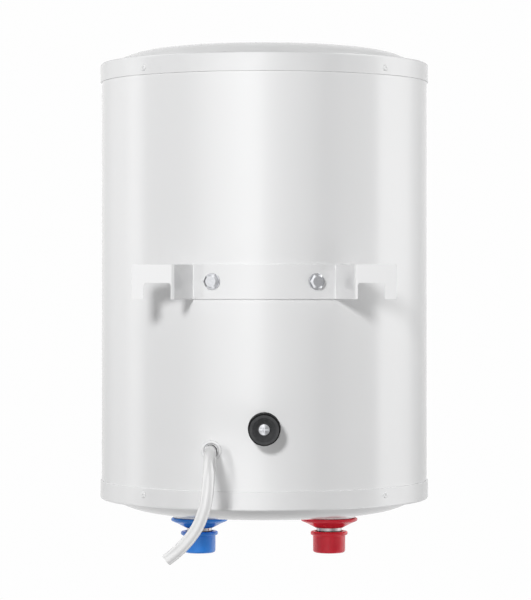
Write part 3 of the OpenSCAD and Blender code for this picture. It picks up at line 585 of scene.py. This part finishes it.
def strand_places(place):
    """Where the seven strands of one core end: one in the middle and six round it."""
    spots = [(0.0, 0.0), *circle(STRAND_OFFSET, 6)]
    return [lambda x, y, z, sx=sx, sy=sy: place(x + sx, y + sy, z) for sx, sy in spots]


make_cord()

# ---- Case ----

CASE_STEPS = 360
FIT = 0.05
SHELL_T = 0.8
SKIRT_H = 14.2
EDGE_R = 1.8
DOME_H = 9.8
CROWN_H = 2.0
DOME_R = COVER_R - 10
COVER_WALL = 2.0
SCREW_RISE = 5.0
TOP_SCREW_Z = TOP_SEAM_Z + SCREW_RISE
BOTTOM_SCREW_Z = BOTTOM_SEAM_Z - SCREW_RISE
SCREW_ANGLES = (45, 135, 225, 315)
SCREW_HOLE_R = 1.55
SCREW_TIP = 120
BOLT_ANGLE = 17.3
BOLT_Z = 1.0
BOLT_HOLE_R = 3.3
BOLT_TIP = 108
GLAND_X = 38.6
GLAND_Z = -121.5
GLAND_HOLE_R = 6.4
SPACER_Z = -105.4
SPACER_HOLE_R = 2.1
KNOB_Z = -115.0
KNOB_HOLE_R = 17.2
LENS_Z = KNOB_Z + 25.5
LENS_HOLE_R = 3.6
PIPE_X = 50.0
BOSS_R = 20.3
BOSS_BORE_R = 10.0


def hole(place, radius, low, high, steps=32):
    return turned("hole", [(0, low), (radius, low), (radius, high), (0, high)], place, steps)


def dome_z(r, full_r):
    share = r / full_r
    return DOME_H * (1 - share ** 8) + CROWN_H * (1 - share ** 2)


def dome_curve(full_r, base):
    """The dome's outline from its edge to its middle, with more points near the edge."""
    shares = [1 - (k / 30) ** 1.6 for k in range(31)]
    return [(full_r * s, base + dome_z(full_r * s, full_r)) for s in shares]


def cover_outline():
    """A cover's section with its seam at height 0 and its dome upwards."""
    bore = SHELL_R + FIT
    foot = rounded([(COVER_R, 3), (COVER_R, 0, 0.35), (bore, 0, 0.15), (bore, 3)], 3)[1:-1]
    outer = arc((COVER_R - EDGE_R, SKIRT_H - EDGE_R), EDGE_R, 0, 90, 10)
    inside = dome_curve(DOME_R - COVER_WALL, SKIRT_H - COVER_WALL)
    inside.insert(0, (bore, SKIRT_H - COVER_WALL))
    return outer + dome_curve(DOME_R, SKIRT_H) + inside[::-1] + foot[::-1]


def cover_screw_holes(z):
    return [hole(radial(a, z), SCREW_HOLE_R, SHELL_R - 5, SHELL_R + 7) for a in SCREW_ANGLES]


def bolt_holes():
    """Holes through the bracket and the shell."""
    places = [radial(side * BOLT_ANGLE, BOLT_Z) for side in (-1, 1)]
    return [hole(place, BOLT_HOLE_R, SHELL_R - 5, SHELL_R + 7) for place in places]


def make_shell():
    levels = 30
    low, high = shell_low.z, shell_high.z
    heights = [low + (high - low) * k / levels for k in range(levels + 1)]
    outline = [(SHELL_R, z) for z in heights] + [(SHELL_R - SHELL_T, z) for z in heights[::-1]]
    mesh = turned("outer_shell_mesh", outline, upright(0), CASE_STEPS)
    holes = bolt_holes()
    holes.append(hole(facing_wall(0, BACK_Y, SPACER_Z), SPACER_HOLE_R, -5, 5))
    holes.append(hole(facing_wall(GLAND_X, BACK_Y, GLAND_Z), GLAND_HOLE_R, -20, 5))
    holes.append(hole(facing_front(0, KNOB_Z), KNOB_HOLE_R, 60, SHELL_R + 5, 64))
    holes.append(hole(facing_front(0, LENS_Z), LENS_HOLE_R, 60, SHELL_R + 5))
    holes += cover_screw_holes(TOP_SCREW_Z) + cover_screw_holes(BOTTOM_SCREW_Z)
    piece(combine(mesh, holes), ["outer_shell"], white_enamel)


def on_seam(seam_z, upwards):
    """Places a cover on the case, with its seam at a height and its dome up or down."""
    return lambda x, y, z: (x, AXIS_Y + y, seam_z + upwards * z)


def make_top_cover():
    mesh = turned("top_cover_mesh", cover_outline(), on_seam(TOP_SEAM_Z, 1), CASE_STEPS)
    mesh = combine(mesh, cover_screw_holes(TOP_SCREW_Z))
    piece(mesh, ["top_cover"], white_plastic)


def make_bottom_cover():
    """The same cover upside down, with a boss that each pipe comes through."""
    mesh = turned("bottom_cover_mesh", cover_outline(), on_seam(BOTTOM_SEAM_Z, -1), CASE_STEPS)
    face_z = bottom_low.z
    top_z = BOTTOM_SEAM_Z - SKIRT_H - DOME_H
    inner_r = BOSS_BORE_R - 0.2
    boss = rounded([
        (inner_r, face_z, 0.4), (BOSS_R, face_z, 0.8), (BOSS_R, top_z + 1.5, 1.2),
        (24, top_z + 3), (inner_r, top_z + 3),
    ], 4)
    bosses = [turned("boss", boss, upright(side * PIPE_X), 96) for side in (-1, 1)]
    mesh = combine(mesh, bosses, "UNION")
    places = [upright(side * PIPE_X) for side in (-1, 1)]
    holes = [hole(place, BOSS_BORE_R, face_z - 2, face_z + 20, 64) for place in places]
    mesh = combine(mesh, holes + cover_screw_holes(BOTTOM_SCREW_Z))
    piece(mesh, ["bottom_cover"], white_plastic)


def cross_recess(place, head_top, reach, depth, width, taper=0.35):
    """Two crossed tapering blades, which cut the recess for a cross-head driver."""
    ends = ((head_top - depth, reach * taper, width * 0.35), (head_top + 0.3, reach, width * 0.62))
    blades = []
    for turn in (0, 1):
        points = []
        for z, half, thick in ends:
            corners = ((-half, -thick), (half, -thick), (half, thick), (-half, thick))
            points += [place(*((y, x) if turn else (x, y)), z) for x, y in corners]
        faces = [[0, 1, 2, 3], [4, 5, 6, 7], [0, 1, 5, 4], [1, 2, 6, 5], [2, 3, 7, 6], [3, 0, 4, 7]]
        blades.append(new_mesh("blade", points, faces))
    return blades


def make_cover_screws(node, z):
    """Small painted pan-head screws, a quarter turn apart."""
    head_top = COVER_R + 0.9
    screws = []
    for degrees in SCREW_ANGLES:
        place = radial(degrees, z)
        outline = rounded([
            (0, SCREW_TIP), (0.4, SCREW_TIP), (1.45, SCREW_TIP + 1.6, 0.3), (1.45, COVER_R, 0.1),
            (2.4, COVER_R, 0.1), (2.4, COVER_R + 0.35, 0.3), (1.9, head_top, 0.5), (0, head_top),
        ], 4)
        screw = turned("screw", outline, place, 40)
        screws.append(combine(screw, cross_recess(place, head_top, 1.25, 0.7, 0.55)))
    piece(join(node + "_mesh", screws), [node], white_enamel)


make_shell()
make_top_cover()
make_bottom_cover()
make_cover_screws("top_cover_screws", TOP_SCREW_Z)
make_cover_screws("bottom_cover_screws", BOTTOM_SCREW_Z)

# ---- Wall bracket ----

bracket_low, bracket_high = cad_box("wall_bracket")
STRIP_R = SHELL_R + FIT
STRIP_T = 2.0
NOTCH_X = 67.0
NOTCH_W = 19.4
NOTCH_R = 2.0
BEND_R = 2.0
LEG_ROOT_X = 53.4
WASHER_T = 1.0
BOLT_HEAD_H = 3.2
BOLT_FACE_R = 3.8
BOLT_CORNER_R = 5.77


def strip_edge(side):
    """One face of the bent strip, from the middle of its back to one end, seen from above."""
    offset = side * STRIP_T / 2
    mid_r = STRIP_R + STRIP_T / 2
    root_angle = math.asin((LEG_ROOT_X - BEND_R) / (mid_r + BEND_R))
    root = Vector((math.sin(root_angle), math.cos(root_angle))) * (mid_r + BEND_R)
    root += Vector((0, AXIS_Y))
    tip = Vector((NOTCH_X - 0.2, -STRIP_T / 2 - BEND_R))
    run = tip - root
    slope = math.degrees(math.atan2(run.y, run.x) + math.asin(2 * BEND_R / run.length))
    degrees = math.degrees(root_angle)
    return (
        arc((0, AXIS_Y), mid_r + offset, 90, 90 - degrees, 48)
        + arc(root, BEND_R - offset, 270 - degrees, 270 + slope, 12)
        + arc(tip, BEND_R + offset, 90 + slope, 90, 12)
        + [(bracket_high.x, offset - STRIP_T / 2)]
    )


def make_bracket():
    """A strip bent over the shell, with a tab at each end and a notch in each tab."""
    wall_side = strip_edge(1)
    shell_side = strip_edge(-1)
    flipped_wall = [(-x, y) for x, y in wall_side[:0:-1]]
    flipped_shell = [(-x, y) for x, y in shell_side[1:]]
    outline = flipped_wall + wall_side + shell_side[::-1] + flipped_shell
    mesh = prism("wall_bracket_mesh", outline, bracket_low.z, bracket_high.z)
    notch = rounded([
        (NOTCH_X, bracket_low.z - 1), (NOTCH_X, 0, NOTCH_R), (NOTCH_X + NOTCH_W, 0, NOTCH_R),
        (NOTCH_X + NOTCH_W, bracket_low.z - 1),
    ], 8)
    tools = []
    for side in (-1, 1):
        tools.append(prism("notch", notch, -1, STRIP_T + 1, lambda x, y, z, s=side: (s * x, -z, y)))
    mesh = combine(mesh, tools + bolt_holes())
    piece(mesh, ["wall_bracket"], white_enamel, 32, 0.3, 3)


def make_bolts():
    """Hex bolts with chamfered heads, and the round washers under them."""
    seat = STRIP_R + STRIP_T + WASHER_T
    top = seat + BOLT_HEAD_H
    under = seat - 0.02
    shank = rounded([
        (0, BOLT_TIP), (2.2, BOLT_TIP), (3, BOLT_TIP + 1, 0.3), (3, seat + 0.5), (0, seat + 0.5),
    ], 3)
    chamfer = rounded([
        (0, seat - 1), (7, seat - 1), (7, top - 1.9), (BOLT_FACE_R, top, 0.3), (0, top),
    ], 4)
    washer = rounded([
        (3.2, seat - WASHER_T, 0.1), (6, seat - WASHER_T, 0.1), (6, under, 0.35), (3.2, under, 0.2),
    ], 4)
    bolts = []
    washers = []
    for side in (-1, 1):
        place = radial(side * BOLT_ANGLE, BOLT_Z)
        head = prism("head", circle(BOLT_CORNER_R, 6), seat, top, place)
        head = combine(head, [turned("chamfer", chamfer, place, 64)], "INTERSECT")
        bolts.append(combine(head, [turned("shank", shank, place, 48)], "UNION"))
        washers.append(turned("washer", washer, place, 64))
    piece(join("bracket_bolts_mesh", bolts), ["bracket_bolts"], zinc, 28, 0.12, 2)
    piece(join("bracket_washers_mesh", washers), ["bracket_washers"], zinc)


make_bracket()
make_bolts()

# ---- Spacer foot and gland ----

SPACER_R = 11.9
SPACER_FACE_R = 10.8
SPACER_RECESS = 4.5
RECESS_R = 8.5
RECESS_FLOOR_R = 5.0
SCREW_HEAD_R = 4.15


def on_shell(centre_x, centre_z):
    """Bends a shape over the back of the shell: its height becomes height above the shell."""

    def place(x, y, z):
        across = centre_x - x
        return across, AXIS_Y + math.sqrt((SHELL_R + z) ** 2 - across ** 2), centre_z + y

    return place


def make_spacer():
    """A rubber foot that keeps the bottom of the case off the wall."""

    def place(x, y, z):
        shell_y = AXIS_Y + math.sqrt((SHELL_R + FIT) ** 2 - x * x)
        return -x, shell_y * (1 - z), SPACER_Z + y

    def share(z):
        """How far a height below the foot's face is on the way from the shell to the face."""
        return 1 - z / BACK_Y

    shape = [
        (SPACER_HOLE_R, share(-SPACER_RECESS)), (SPACER_HOLE_R, 0), (SPACER_R, 0),
        (SPACER_R - 0.38, share(-1.0)),
        *[(a, share(z)) for a, z in arc((SPACER_FACE_R - 0.1, -0.8), 0.8, 10, 90, 6)],
        (RECESS_R + 0.15, 1), (RECESS_R, share(-0.15)), (RECESS_R - 0.05, share(-0.7)),
        (RECESS_FLOOR_R + 0.3, share(-SPACER_RECESS + 0.1)), (RECESS_FLOOR_R, share(-SPACER_RECESS)),
    ]
    mesh = turned("wall_spacer_mesh", shape, place, 96)
    foot = piece(mesh, ["wall_spacer"], rubber_face_painted_light, 40)
    # Faces outside the foot's face take the near-black copy as painted shade on its side. The face
    # keeps the lighter copy as painted light.
    foot.data.materials.append(black_rubber)
    for face in foot.data.polygons:
        if math.hypot(face.center.x, face.center.z - SPACER_Z * MM) > (SPACER_FACE_R - 0.1) * MM:
            face.material_index = 1
    head = facing_wall(0, -SPACER_RECESS, SPACER_Z)
    inside_z = BACK_Y + SPACER_RECESS
    outline = rounded([
        (0, inside_z - 2), (0.5, inside_z - 2), (2, inside_z, 0.3),
        (2, 0, 0.1), (SCREW_HEAD_R, 0, 0.15), (SCREW_HEAD_R, 1.1, 0.3), (0.6, 2.75, 2), (0, 2.8),
    ], 5)
    screw = turned("spacer_screw_mesh", outline, head, 64)
    screw = combine(screw, cross_recess(head, 2.6, 3.9, 1.0, 1.2, 0.88))
    piece(screw, ["spacer_screw"], zinc, 30)


def make_gland():
    """A snap-in bush: a rounded flange on the shell, and a tapered barrel inside."""
    outline = rounded([
        (5.1, -30, 0.3), (6.0, -30, 0.4), (6.6, -13), (7.2, -12.6, 0.2), (7.2, -11, 0.3),
        (6.3, -10.8), (6.3, FIT), (7.5, FIT, 0.1), (7.5, 1.0, 0.9), (6.9, 1.6, 0.9),
        (5.35, 1.6, 0.4), (5.35, -1.5), (5.05, -1.5), (5.05, 1.5, 0.3), (4.43, 1.5, 0.15),
        (4.43, -3, 0.5), (5.1, -4),
    ], 5)
    mesh = turned("cord_gland_mesh", outline, on_shell(GLAND_X, GLAND_Z), 72)
    piece(mesh, ["cord_gland"], white_plastic, 50)


make_spacer()
make_gland()

# ---- Pipes ----

NECK_R = 9.7
PIPE_BORE_R = 7.5
THREAD_R = 10.4775
THREAD_PITCH = 1.814
THREAD_DEPTH = 1.1
THREAD_LENGTH = 14.8
THREAD_STEPS = 48
dish_low, dish_high = cad_box("cold_dish")
DISH_R = (dish_high.x - dish_low.x) / 2
DISH_BORE_R = 10.0
DISH_NECK_R = 10.8
cap_low, cap_high = cad_box("cold_thread_cap")
CAP_RIM_R = (cap_high.x - cap_low.x) / 2
CAP_R = 12.5
CAP_CORNER_R = 1.8
CAP_BORE_R = 11.2
LIP_R = 1.35
pipe_low, pipe_high = cad_box("cold_nipple")


def make_dish(node, side, material):
    """A thin coloured dish round the pipe, with a bead round its lip."""
    lip_z = dish_high.z - LIP_R
    base = dish_low.z
    bead = (DISH_R - LIP_R, lip_z)
    outline = rounded([
        (DISH_BORE_R, base, 0.2), (DISH_NECK_R, base, 0.3), (19.3, lip_z - 1.8, 2),
    ], 5)
    outline += arc(bead, LIP_R, -75, 165, 14)
    outline += rounded([
        (DISH_R - 3.4, lip_z - 0.5, 0.8), (11.6, base + 1.5, 0.8), (DISH_BORE_R, base + 1.3, 0.3),
    ], 3)
    piece(turned(node + "_mesh", outline, upright(side * PIPE_X), 128), [node], material, 50)


def make_nipple(node, side):
    """The steel pipe with a real G 1/2 thread on its end."""
    z0 = pipe_low.z
    z1 = z0 + THREAD_LENGTH
    core_r = THREAD_R - THREAD_DEPTH
    outline = rounded([
        (PIPE_BORE_R, z0, 0.4), (core_r, z0, 0.5), (core_r, z1, 0.2), (NECK_R, z1 + 0.4, 0.2),
        (NECK_R, pipe_high.z, 0.3), (PIPE_BORE_R, pipe_high.z, 0.3),
    ], 3)
    pipe = turned("pipe", outline, upright(side * PIPE_X), 96)
    turns = (z1 - z0 - 1.8) / THREAD_PITCH
    steps = int(turns * THREAD_STEPS)
    middle = Vector((side * PIPE_X, AXIS_Y, 0))
    path = []
    for k in range(steps + 1):
        a = math.tau * k / THREAD_STEPS
        z = z0 + 0.9 + THREAD_PITCH * k / THREAD_STEPS
        path.append(middle + Vector((math.cos(a) * core_r, math.sin(a) * core_r, z)))

    def section(i):
        fade = min(1, i / 24, (steps - i) / 24) * THREAD_DEPTH
        crest = max(0.05, fade)
        return [(-0.82, -0.12), (0.82, -0.12), (0.16, crest), (-0.16, crest)]

    ridge = swept("ridge", path, section, lambda i: path[i] - middle - Vector((0, 0, path[i].z)))
    piece(join(node + "_mesh", [pipe, ridge]), [node], bare_steel, 35)


def make_cap(node, side, material):
    """A push-on thread guard with a rounded rim, hollow inside."""
    low = cap_low.z
    top = cap_high.z
    outline = rounded([
        (0, low + 0.25), (3.4, low + 0.25, 0.2), (3.8, low, 0.2), (CAP_R - 0.1, low, CAP_CORNER_R),
        (CAP_R, top - 3.1, 0.5), (CAP_RIM_R, top - 2.9, 1.35), (CAP_RIM_R, top, 1.35),
        (CAP_BORE_R, top, 0.5), (CAP_BORE_R, low + 1, 1.0), (0, low + 1),
    ], 7)
    piece(turned(node + "_mesh", outline, upright(side * PIPE_X), 128), [node], material, 50)


for name, side, colour in (("cold", 1, "blue"), ("hot", -1, "red")):
    plastic = blue_plastic if colour == "blue" else red_plastic
    make_dish(name + "_dish", side, plastic)
    make_nipple(name + "_nipple", side)
    make_cap(name + "_thread_cap", side, plastic)

# ---- Controls at the front ----

DIAL_R = 31.0
DIAL_FACE = SHELL_R + 3.5
KNOB_R = 21.0
KNOB_BASE = DIAL_FACE + 0.5
KNOB_REST = 135
KNOB_H = 16.0
DIAL_BORE_R = 17.0
DIAL_SCREW_X = 11
MARK_OFFSET = 26.0


def make_dial():
    """A plate that follows the shell at its back and is flat in front, with raised marks on it."""

    def place(x, y, z):
        shell_z = math.sqrt((SHELL_R + FIT) ** 2 - x * x)
        height = shell_z + (DIAL_FACE - shell_z) * z if z <= 1 else DIAL_FACE
        return x, AXIS_Y - height, KNOB_Z + y

    outline = [
        (DIAL_BORE_R, 0), (DIAL_R, 0), (DIAL_R, 0.5), (DIAL_R, 0.86), (DIAL_R - 0.15, 0.93),
        (DIAL_R - 0.5, 0.98), (DIAL_R - 1, 1), (22, 1), (DIAL_BORE_R, 1),
    ]
    plate = turned("plate", outline, place, 128)
    spigot_r = DIAL_BORE_R + 0.05
    spigot = turned("spigot", rounded([
        (4, SHELL_R - 7, 0.3), (spigot_r, SHELL_R - 7, 0.5), (spigot_r, DIAL_FACE), (4, DIAL_FACE, 0.3),
    ], 3), facing_front(0, KNOB_Z), 128)
    plate = combine(plate, [spigot], "UNION")
    tools = [hole(facing_front(0, LENS_Z), 3.45, SHELL_R - 9, DIAL_FACE + 3, 48)]
    for x in (-DIAL_SCREW_X, DIAL_SCREW_X):
        tools.append(hole(facing_front(x, KNOB_Z), 1.7, SHELL_R - 9, DIAL_FACE + 3))
        tools.append(hole(facing_front(x, KNOB_Z), 3.2, DIAL_FACE - 2, DIAL_FACE + 3))
    piece(combine(plate, tools), ["dial_plate"], white_plastic, 32, 0.15)
    marks = []
    for k in range(1, 10):
        a = math.radians(KNOB_REST + 90 - 30 * k)
        size = 0.45 + 0.1 * k
        under_lens = abs(MARK_OFFSET * math.cos(a)) < 5 and math.sin(a) > 0
        if under_lens:
            continue
        foot_z, top_z = DIAL_FACE - 0.2, DIAL_FACE + 0.3
        dot = rounded([(0, foot_z), (size, foot_z), (size, top_z, 0.15), (0, top_z)], 3)
        place_dot = facing_front(MARK_OFFSET * math.cos(a), KNOB_Z + MARK_OFFSET * math.sin(a))
        marks.append(turned("dot", dot, place_dot, 24))
    marks_object = new_object(join("dial_marks", marks))
    marks_object.data.materials.append(grey_marks)
    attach(marks_object, "heater")


def make_knob():
    """A skirted knob with a finger grip across it, fluted edge and pointer groove."""
    turn = Matrix.Rotation(math.radians(KNOB_REST), 3, "Z")
    front = facing_front(0, KNOB_Z)

    def place(x, y, z):
        spot = turn @ Vector((x, y, z))
        return front(spot.x, spot.y, KNOB_BASE + spot.z)

    def fluted(radius, height, a):
        ripple = 0.25 * (0.5 - 0.5 * math.cos(a * 60)) if radius > KNOB_R - 2 else 0
        return radius - ripple

    skirt = turned("skirt", rounded([
        (0, 0), (KNOB_R, 0, 0.3), (KNOB_R - 0.6, 3.0, 0.9), (KNOB_R - 4, 4.4, 1.5), (0, 4.6),
    ], 5), place, 360, fluted)
    sides = []
    for height, width, length in (
        (2, 11.0, 38.6), (4.5, 9.4, 38.2), (8, 8.4, 37.2), (12, 7.8, 35.6), (14.6, 7.2, 34.4),
        (15.6, 6.2, 33.4), (16, 4.4, 31.6),
    ):
        ring = rounded([
            (-width / 2, -length / 2, width * 0.42), (width / 2, -length / 2, width * 0.42),
            (width / 2, length / 2, width * 0.42), (-width / 2, length / 2, width * 0.42),
        ], 6)
        sides.append([place(x, y, height) for x, y in ring])
    count = len(sides[0])
    points = [p for ring in sides for p in ring]
    faces = [list(range(count)), list(range(len(points) - count, len(points)))]
    for start in range(0, len(points) - count, count):
        for k in range(count):
            j = (k + 1) % count
            faces.append([start + k, start + j, start + count + j, start + count + k])
    grip = new_mesh("grip", points, faces)
    knob = combine(skirt, [grip], "UNION")
    pointer = [(-0.6, 8.5), (0.6, 8.5), (0.6, 19), (-0.6, 19)]
    groove = prism("groove", pointer, KNOB_H - 0.8, KNOB_H + 1, place)
    bore = hole(place, 3.0, -1, 12.5, 48)
    piece(combine(knob, [groove, bore]), ["temperature_knob"], white_plastic, 35, 0.2)


def make_lens():
    outline = rounded([
        (0, SHELL_R - 4), (3.4, SHELL_R - 4, 0.3), (3.4, DIAL_FACE), (4.4, DIAL_FACE, 0.1),
        (4.2, DIAL_FACE + 0.6, 0.3), (3.0, DIAL_FACE + 1.1, 1.0), (0, DIAL_FACE + 1.2),
    ], 6)
    mesh = turned("indicator_lens_mesh", outline, facing_front(0, LENS_Z), 64)
    piece(mesh, ["indicator_lens"], lamp_lens, 40)


make_dial()
make_knob()
make_lens()

# ---- Finishes of the CAD nodes inside the case ----

INSIDE = {
    tank_steel: ["tank_barrel", "tank_top_head", "tank_bottom_head", "bracket_bosses", "flange_ring"],
    bare_steel: ["outlet_tube", "thermostat_spindle"],
    zinc: [
        "flange_studs", "flange_plate", "flange_nuts", "thermostat_screws", "terminal_tray",
        "tray_pillars", "tray_screws", "terminal_screws", "cord_clamp_screws",
    ],
    foam: ["foam_jacket"],
    white_plastic: ["inlet_diffuser"],
    white_sheath: ["sheathed_lead"],
    black_rubber: ["flange_gasket"],
    copper: ["heating_element", "sensor_pocket", "thermostat_bulb", "cutout_bulb"],
    magnesium: ["anode_rod"],
    cream_plastic: ["thermostat_body", "terminal_block"],
    black_plastic: ["cord_clamp", "thermal_cutout"],
    red_plastic: ["reset_button"],
    lamp_lens: ["indicator_lamp"],
    brown_wire: ["line_core"],
    blue_wire: ["neutral_core"],
    earth_green: ["earth_core", "earth_wire"],
    grey_wire: ["internal_wires"],
}
for finish, nodes in INSIDE.items():
    for name in nodes:
        mesh = frame["nodes"][name].data
        mesh.materials.clear()
        mesh.materials.append(finish)

# ---- Studio ----

FLOOR_Z = -1750
TENT_R = 7000
BACKDROP_R = 8000
LAMP_DISTANCE = 2500
# The tent's wall is dimmest from DIM_LOW_Z down and at its full brightness from DIM_HIGH_Z up.
DIM_LOW_Z = -600
DIM_HIGH_Z = 200
DIM_LEVEL = 0.86
# How bright the tent's wall is, by its direction from the heater in degrees. 0 is behind the heater,
# where the camera stands, and the angle grows towards +X.
TENT_WALL = [
    (-180, 1.1), (-165, 1.12), (-143, 1.6), (-130, 2.3), (-120, 3.1), (-108, 3.45), (-91, 3.45),
    (-83, 2.2), (-70, 1.7), (-60, 1.4), (-50, 1.0), (-42, 0.8), (-30, 1.1), (-15, 1.4), (-5, 1.8),
    (0, 2.2), (4, 2.7), (12, 2.8), (25, 2.4), (40, 2.0), (50, 1.6), (60, 1.4), (75, 1.5), (90, 1.8),
    (98, 2.6), (106, 2.8), (113, 2.4), (132, 1.95), (145, 1.4), (168, 1.12), (180, 1.1),
]
# How bright the fill light is, by the height of its direction, from straight down to straight up.
FILL = [(-1, 0.42), (-0.3, 0.14), (0, 0.07), (0.3, 0.1), (1, 0.34)]


def ball(name, radius):
    outline = [(0, -radius), *arc((0, 0), radius, -85, 85, 34), (0, radius)]
    return new_object(turned(name, outline, upright(0), 72))


def hide_from(made, *kinds):
    for kind in kinds:
        setattr(made, "visible_" + kind, False)


def emission(name, colour, strength):
    material = bpy.data.materials.new(name)
    material.use_nodes = True
    nodes = material.node_tree.nodes
    nodes.remove(nodes["Principled BSDF"])
    light = nodes.new("ShaderNodeEmission")
    light.inputs["Color"].default_value = (*colour, 1)
    light.inputs["Strength"].default_value = strength
    material.node_tree.links.new(light.outputs["Emission"], nodes["Material Output"].inputs["Surface"])
    material.cycles.emission_sampling = "NONE"
    return material, light


def make_stage():
    """A pale floor and a white backdrop, which only the camera sees."""
    pale, _ = emission("pale", (0.99, 0.99, 0.99), 1.0)
    floor = new_object(prism("floor", circle(BACKDROP_R * 0.95, 64), FLOOR_Z - 10, FLOOR_Z, upright(0)))
    backdrop = ball("backdrop", BACKDROP_R)
    for made in (floor, backdrop):
        made.data.materials.append(pale)
        hide_from(made, "diffuse", "glossy", "transmission", "shadow", "volume_scatter")


def set_stops(ramp, stops):
    """Gives a grey ramp its stops, each a position and a level."""
    elements = ramp.color_ramp.elements
    while len(elements) < len(stops):
        elements.new(0.5)
    for element, (position, level) in zip(elements, stops):
        element.position = position
        element.color = (level, level, level, 1)


def make_tent():
    """Soft vertical panels all round, seen only in reflections and through clear plastic."""
    material, light = emission("tent_wall", (1, 1, 1), 1.0)
    nodes, links = material.node_tree.nodes, material.node_tree.links
    place = nodes.new("ShaderNodeTexCoord").outputs["Object"]
    split = nodes.new("ShaderNodeSeparateXYZ")
    links.new(place, split.inputs["Vector"])
    angle = nodes.new("ShaderNodeMath")
    angle.operation = "ARCTAN2"
    links.new(split.outputs["X"], angle.inputs[0])
    links.new(split.outputs["Y"], angle.inputs[1])
    share = nodes.new("ShaderNodeMapRange")
    share.inputs["From Min"].default_value = -math.pi
    share.inputs["From Max"].default_value = math.pi
    links.new(angle.outputs["Value"], share.inputs["Value"])
    ramp = nodes.new("ShaderNodeValToRGB")
    brightest = max(level for _, level in TENT_WALL)
    set_stops(ramp, [((degrees + 180) / 360, level / brightest) for degrees, level in TENT_WALL])
    links.new(share.outputs["Result"], ramp.inputs["Fac"])
    links.new(ramp.outputs["Color"], light.inputs["Color"])
    height = nodes.new("ShaderNodeMath")
    height.operation = "ABSOLUTE"
    links.new(split.outputs["Z"], height.inputs[0])
    reach = nodes.new("ShaderNodeMapRange")
    reach.interpolation_type = "SMOOTHSTEP"
    reach.inputs["From Min"].default_value = TENT_R * MM * 0.8
    reach.inputs["From Max"].default_value = TENT_R * MM
    reach.inputs["To Min"].default_value = brightest
    reach.inputs["To Max"].default_value = 1.0
    links.new(height.outputs["Value"], reach.inputs["Value"])
    low = nodes.new("ShaderNodeMapRange")
    low.inputs["From Min"].default_value = DIM_LOW_Z * MM
    low.inputs["From Max"].default_value = DIM_HIGH_Z * MM
    low.inputs["To Min"].default_value = DIM_LEVEL
    links.new(split.outputs["Z"], low.inputs["Value"])
    strength = nodes.new("ShaderNodeMath")
    strength.operation = "MULTIPLY"
    links.new(reach.outputs["Result"], strength.inputs[0])
    links.new(low.outputs["Result"], strength.inputs[1])
    links.new(strength.outputs["Value"], light.inputs["Strength"])
    tent = ball("tent", TENT_R)
    tent.data.materials.append(material)
    hide_from(tent, "camera", "diffuse", "shadow", "volume_scatter")


def add_lamp(name, toward, size, power):
    """A round soft light in a direction from the middle of the case, which casts no highlight."""
    data = bpy.data.lights.new(name, "AREA")
    data.shape = "DISK"
    data.size = size * MM
    data.energy = power
    lamp = bpy.data.objects.new(name, data)
    away = Vector(toward).normalized()
    lamp.location = (Vector((0, AXIS_Y, 0)) + away * LAMP_DISTANCE) * MM
    lamp.rotation_euler = away.to_track_quat("Z", "Y").to_euler()
    lamp.visible_glossy = False
    bpy.context.scene.collection.objects.link(lamp)


def make_world():
    """Fill light that is weakest level with the heater and stronger from above and below."""
    world = bpy.data.worlds.new("studio")
    world.use_nodes = True
    bpy.context.scene.world = world
    nodes, links = world.node_tree.nodes, world.node_tree.links
    split = nodes.new("ShaderNodeSeparateXYZ")
    links.new(nodes.new("ShaderNodeTexCoord").outputs["Generated"], split.inputs["Vector"])
    ramp = nodes.new("ShaderNodeValToRGB")
    lift = nodes.new("ShaderNodeMapRange")
    lift.inputs["From Min"].default_value = -1
    links.new(split.outputs["Z"], lift.inputs["Value"])
    links.new(lift.outputs["Result"], ramp.inputs["Fac"])
    set_stops(ramp, [((height + 1) / 2, level) for height, level in FILL])
    links.new(ramp.outputs["Color"], nodes["Background"].inputs["Color"])
    nodes["Background"].inputs["Strength"].default_value = 1


def make_lights():
    add_lamp("key", (0.265, 1.0, 0.34), 420, 34)
    add_lamp("right_fill", (-0.82, 0.57, -0.3), 1500, 9.5)
    add_lamp("left_fill", (0.94, 0.34, -0.15), 1500, 4.5)
    add_lamp("front_key", (-0.4, -1.0, 0.14), 1200, 20)
    add_lamp("front_low", (0.4, -1.0, -0.65), 1800, 30)


make_stage()
make_tent()
make_world()
make_lights()
bpy.context.scene.view_settings.view_transform = "Standard"
